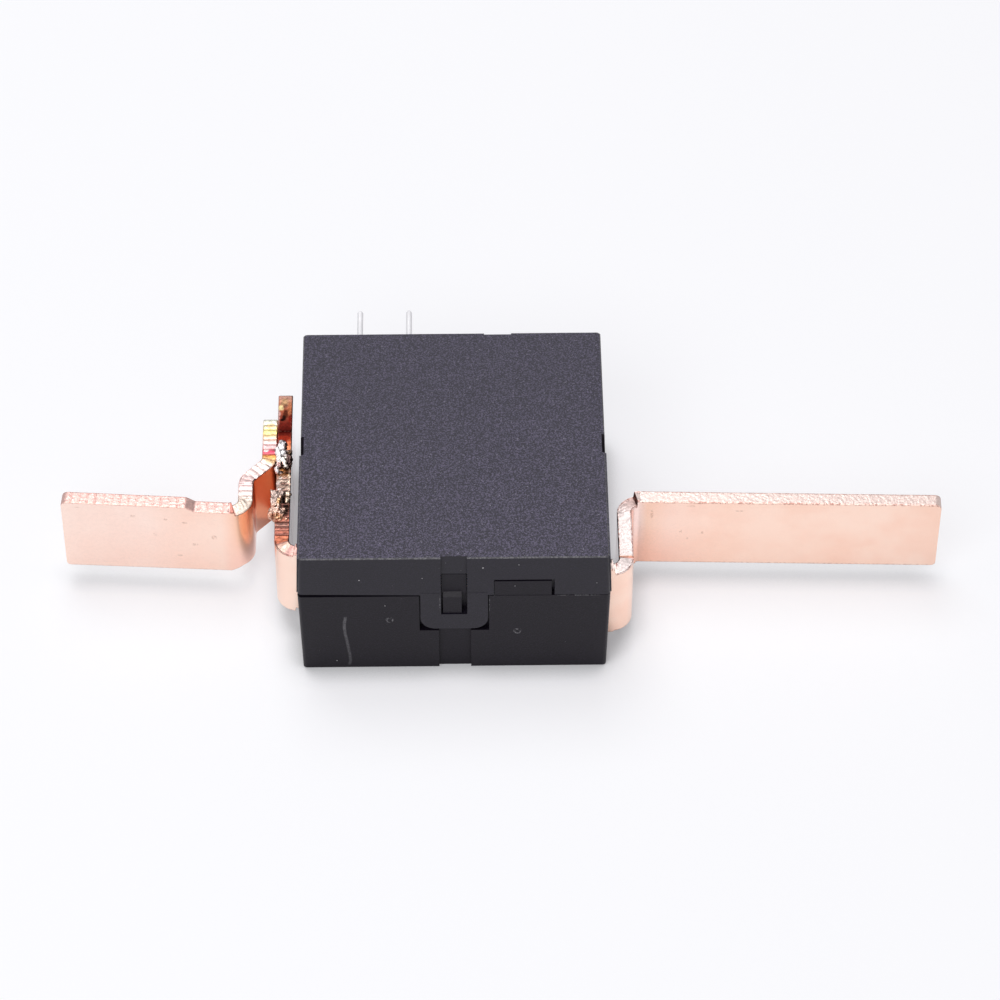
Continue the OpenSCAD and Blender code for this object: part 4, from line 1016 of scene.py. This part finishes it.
def ball(x, y, z, r):
    """Points and faces of a rough ball: stacked rings between two poles."""
    points = []
    for i in range(BALL_RINGS - 1, 0, -1):
        flat, height = r * sin(pi * i / BALL_RINGS), r * cos(pi * i / BALL_RINGS)
        points += [(x + flat * cos(a), y + flat * sin(a), z + height)
            for a in circle(BALL_SIDES)]
    faces = tube(BALL_RINGS - 1, BALL_SIDES)[:-2]
    pole = len(points)
    top = pole - BALL_SIDES
    for k in range(BALL_SIDES):
        after = (k + 1) % BALL_SIDES
        faces += [(pole, after, k), (pole + 1, top + k, top + after)]
    return [*points, (x, y, z - r), (x, y, z + r)], faces


def block(lo, hi):
    corners = [(lo[0], lo[1]), (hi[0], lo[1]), (hi[0], hi[1]), (lo[0], hi[1])]
    return [(x, y, z) for z in (lo[2], hi[2]) for x, y in corners], tube(2, 4)


# The front weld's flat seam down the outer side of the strip
SEAM_T = 0.18
SEAM_HALF = 0.55
SEAM_TOP = 10.4


def weld_beads():
    outer = LEFT_RUN_X - STRIP_T / 2
    seam = ((outer - SEAM_T, left_hi.y - SEAM_HALF, mm_box("weld_bead_front")[0].z),
        (outer + 0.1, left_hi.y + SEAM_HALF, SEAM_TOP))
    silver, pink = (168, 148, 140), (214, 180, 164)
    gold, brown = (206, 164, 124), (120, 70, 52)
    drops = [(-17.65, -2.64, 11, 0.3), (-17.65, -3.25, 11, 0.3),
        (-17.3, -1.5, 10.7, 0.4), (-16.85, -2.3, 10.6, 0.35), (-16.75, -1.5, 10.6, 0.3),
        (-18.3, -3.7, 10.6, 0.45), (-18.35, -4.2, 10.45, 0.4), (-17.7, -3.9, 10.85, 0.5),
        (-17.3, -4.2, 10.8, 0.42), (-17.95, -4.7, 10.6, 0.4), (-17.5, -4.9, 10.7, 0.35),
        (-17.15, -3.6, 10.6, 0.35), (-18.35, -3.5, 10.1, 0.42), (-16.9, -4.9, 10.6, 0.3)]
    drops += granules((-17.95, -4.3, 10.98), (0.62, 0.85, 0.22), 70)
    lump = ((-18.45, -3.35, 10), (-17.75, -1.25, 11.1))
    crest = ((-18.2, -3.2, 10.2), (-17.45, -1.3, 11))
    patches = spots((-18.1, -2.2, 0.6, 1.2, silver, 1), (-17.65, -2.9, 0.22, 0.5, gold, 1),
        (-17.35, -1.6, 0.5, 0.35, (150, 134, 128), 0.9),
        # The two long black patches on this line are painted shade in the gaps beside the seam
        (-17.12, -2.6, 0.16, 0.8, SOOT_AND_SHADE, 1), (-16.65, -3.9, 0.2, 0.8, SOOT_AND_SHADE, 1),
        (-16.72, -2, 0.2, 1.2, CREAM, 0.9), (-17.95, -3.9, 0.95, 0.75, pink, 0.95),
        (-17.9, -3.45, 0.14, 0.1, SOOT_AND_SHADE, 0.9), (-17.35, -4.3, 0.12, 0.25, SOOT_AND_SHADE, 0.9),
        (-18.15, -4.85, 0.2, 0.16, brown, 0.95), (-17.6, -4.1, 0.12, 0.12, brown, 0.9),
        (-17.6, -4.9, 0.35, 0.3, (228, 176, 136), 0.9),
        (-18, -5.3, 0.25, 0.12, SOOT_AND_SHADE, 0.8))
    piece = blob_piece("weld_front", drops, [seam, lump, crest], 3, patches, (196, 150, 128))
    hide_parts("weld_bead_front")
    drops = [(-17.6, 5.62, 10.75, 0.32), (-17.3, 5.3, 10.85, 0.34), (-17.62, 5.1, 10.9, 0.3),
        (-17.35, 4.95, 10.8, 0.4), (-17.95, 4.6, 10.85, 0.3), (-17.3, 5.75, 10.6, 0.22),
        (-17.85, 4.1, 10.95, 0.36), (-17.75, 3.6, 10.95, 0.38), (-17.7, 3.1, 10.95, 0.34),
        (-17.3, 3.1, 10.95, 0.3), (-17.15, 2.6, 10.95, 0.3), (-17, 2.15, 10.85, 0.3),
        (-18, 2.1, 10.7, 0.26), (-17.9, 1.65, 10.6, 0.28), (-17.8, 2.6, 10.7, 0.3),
        (-16.85, 3.6, 10.6, 0.45), (-16.8, 2.9, 10.5, 0.42), (-16.8, 4.3, 10.6, 0.38),
        (-17.3, 4.1, 10.75, 0.4), (-17.5, 1.7, 10.45, 0.25)]
    patches = spots((-17.45, 5.4, 0.5, 0.7, (176, 170, 172), 1),
        (-17.25, 5.75, 0.2, 0.2, (60, 50, 48), 0.9),
        (-17.65, 5.3, 0.1, 0.16, (50, 44, 44), 0.9),
        (-17.15, 4.7, 0.2, 0.4, (110, 92, 88), 0.9),
        (-17.68, 3.7, 0.6, 1.4, (254, 250, 252), 1),
        (-17.75, 4.05, 0.1, 0.1, (40, 34, 36), 0.9),
        (-17.2, 2.6, 0.38, 0.85, (250, 240, 226), 1),
        (-17.95, 1.75, 0.32, 0.55, (246, 232, 234), 1),
        (-17.7, 2.5, 0.25, 0.25, (226, 180, 176), 0.9),
        (-16.75, 3.1, 0.28, 1.25, (92, 70, 66), 1),
        # The black band at the weld's front edge is painted shadow
        (-16.7, 4.05, 0.16, 0.16, (120, 90, 60), 0.8), (-17.2, 1.75, 0.5, 0.22, SOOT_AND_SHADE, 1))
    piece = blob_piece("weld_rear", drops, [], 5, patches, (120, 96, 84))
    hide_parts("weld_bead_rear")


def granules(centre, spread, count):
    """Small solidified splashes round a point."""
    return [(*(centre + rng.normal(0, 0.5, 3) * spread), rng.uniform(0.09, 0.19))
        for _ in range(count)]


def dress(names, finish):
    for name in names:
        node = frame["nodes"][name]
        node.data.materials.clear()
        node.data.materials.append(finish)


def carried_nodes():
    """Finishes for the nodes that are shown as the frame has them."""
    # The base is a darker, less glossy copy of the cover's plastic: painted shade for the darker
    # floor it reflects
    dress(["base_housing"], plastic_finish("base_plastic_shaded", BASE_WALL_SHADED, 0.235))
    dress(["top_cover"], plastic_finish("cover_plastic", COVER_WALL, 0.355))
    dress(["coil_pin_left", "coil_pin_right"], metal_finish("tinned", (0.7, 0.695, 0.71),
        (0.605, 0.6, 0.615), 0.7, (1, 0.2, 1)))
    dress(["coil_winding", "coil_leads"], wire_finish("enamelled_wire"))
    dress(["coil_bobbin", "armature_carrier", "pusher_card"],
        nylon_finish("nylon", (0.8, 0.78, 0.7), (0.72, 0.7, 0.62)))
    dress(["coil_core", "yoke_front", "yoke_rear", "armature_plate_left",
        "armature_plate_right"], metal_finish("soft_iron", (0.62, 0.62, 0.63),
        (0.48, 0.48, 0.5), 0.35, (0.2, 1, 1)))
    dress(["armature_magnet"], metal_finish("magnet", (0.1, 0.1, 0.11),
        (0.06, 0.06, 0.07), 0.5, metallic=0.6))
    dress(["moving_contacts", "fixed_contacts"], metal_finish("silver", (0.92, 0.91, 0.9),
        (0.75, 0.74, 0.73), 0.3))
    dress(["spring_rivets"], metal_finish("rivet_copper", (0.9, 0.58, 0.46),
        (0.8, 0.46, 0.36), 0.35))


# The leaves are cut finely between the plate's end and a point past the middle of their swing
LEAVES = ("spring_leaf_front", "spring_leaf_middle", "spring_leaf_back")
BEND_PAST = 5
BEND_CUTS = 24


def bending_leaves():
    """The contact's spring leaves, cut finely across the stretch where the real leaves bend as
    the contacts open.
    """
    finish = metal_finish("spring_alloy", (0.85, 0.48, 0.3), (0.72, 0.38, 0.24), 0.25,
        (0.2, 1, 3))
    swing = next(joint for joint in frame["joints"] if joint["name"] == "contact_swing")
    middle = Vector(swing["pos_m"])
    start = Vector((left_hi.x * MM, middle.y, middle.z))
    end = middle + Vector((BEND_PAST * MM, 0, 0))
    for name in LEAVES:
        mesh = frame["nodes"][name].data.copy()
        cut = bmesh.new()
        cut.from_mesh(mesh)
        for x in np.linspace(start.x, end.x, BEND_CUTS):
            bmesh.ops.bisect_plane(cut, geom=[*cut.verts, *cut.edges, *cut.faces],
                plane_co=(x, 0, 0), plane_no=(1, 0, 0))
        cut.to_mesh(mesh)
        cut.free()
        mesh.materials.clear()
        mesh.materials.append(finish)
        leaf = add_object(name + "_bent", mesh)
        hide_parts(name)
        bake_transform(leaf)


# Stage

FLOOR_R = 1500
FLOOR_Z = -0.02
FLOOR_SIDES = 96
FLOOR_GLOW = 0.65
# The glow's pink tint and the shade's cooler colour paint the copper's pink bounce light into the
# floor's shadows
GLOW_TINT = (0.99, 0.965, 1)
FLOOR_SHADE = (0.364, 0.383, 0.39)
FLOOR_PLAIN = (0.88, 0.88, 0.9)
WORLD_LEVEL = 0.2
# Reach of the painted contact shadow round what stands on the floor, and what it leaves of the
# glow
CONTACT_REACH = 3.2
CONTACT_LEFT = 0.42
WHITE = (0.985, 0.985, 1)
LAMP_AIM = Vector((0, 0, 8))


def seen_directly(tree):
    """1 for camera, glossy and transmission rays, and 0 for others."""
    path = add_node(tree, "LightPath").outputs
    either = path["Is Camera Ray"]
    for kind in ("Is Glossy Ray", "Is Transmission Ray"):
        either = add_node(tree, "Math", {0: either, 1: path[kind]},
            operation="MAXIMUM").outputs[0]
    return either


def floor():
    """A glowing round floor with a painted contact shadow, darkening it softly where something
    stands on it.
    """
    verts = [(FLOOR_R * cos(a), FLOOR_R * sin(a), FLOOR_Z) for a in circle(FLOOR_SIDES)]
    f = Finish("floor")
    f.tree.nodes.remove(f.shader)
    near = f.add("AmbientOcclusion", {"Distance": CONTACT_REACH * MM}, samples=8)
    clear = f.level(f.step(near.outputs["AO"], 0.45, 1), CONTACT_LEFT, 1)
    glow = f.add("Emission", {"Color": GLOW_TINT, "Strength": f.times(clear, FLOOR_GLOW)})
    shade = f.add("BsdfDiffuse", {"Color": FLOOR_SHADE})
    seen = f.add("AddShader", {0: glow.outputs[0], 1: shade.outputs[0]})
    plain = f.add("BsdfDiffuse", {"Color": FLOOR_PLAIN})
    mixed = f.add("MixShader", {0: seen_directly(f.tree), 1: plain.outputs[0],
        2: seen.outputs[0]})
    put(f.tree, f.out.inputs["Surface"], mixed.outputs[0])
    mesh_piece("floor", verts, [tuple(range(FLOOR_SIDES))], f.material)


def world():
    """A white background that lights the object less than it shows."""
    studio = bpy.data.worlds.new("studio")
    studio.use_nodes = True
    tree = studio.node_tree
    tree.nodes.clear()
    level = add_node(tree, "MapRange", {"Value": seen_directly(tree), "To Min": WORLD_LEVEL,
        "To Max": 1.0})
    back = add_node(tree, "Background", {"Color": WHITE, "Strength": level.outputs[0]})
    add_node(tree, "OutputWorld", {"Surface": back.outputs[0]})
    bpy.context.scene.world = studio


def softbox(name, place, size, power):
    """A rectangular lamp, turned to the case."""
    data = bpy.data.lights.new(name, "AREA")
    data.shape = "RECTANGLE"
    data.size, data.size_y = Vector(size) * MM
    data.energy = power
    lamp = add_object(name, data)
    lamp.location = Vector(place) * MM
    lamp.rotation_euler = (LAMP_AIM - Vector(place)).to_track_quat("-Z", "Y").to_euler()


def camera():
    data = bpy.data.cameras.new("camera")
    data.sensor_width = SENSOR_MM
    data.lens = FOCAL_PIXELS / IMAGE_PIXELS * SENSOR_MM
    data.clip_start, data.clip_end = 0.01, 10
    shot = add_object("camera", data)
    shot.matrix_world = (Matrix.Rotation(-CASE_TURN, 4, "Z")
        @ Matrix.Translation(CAMERA_AIM * MM)
        @ Matrix.Rotation(pi / 2 - CAMERA_DROP, 4, "X")
        @ Matrix.Rotation(-CAMERA_ROLL, 4, "Z")
        @ Matrix.Translation((0, 0, CAMERA_DISTANCE * MM)))
    bpy.context.scene.camera = shot


camera()
world()
floor()
softbox("back", (-86, 237, 566), (340, 330), 1.75)
softbox("front_left", (-150, -380, 440), (420, 330), 1.65)
fixed_terminal()
moving_terminal()
shunt_plate()
shunt_tail()
load_bar()
weld_beads()
carried_nodes()
bending_leaves()

bpy.context.scene.view_settings.view_transform = "Standard"
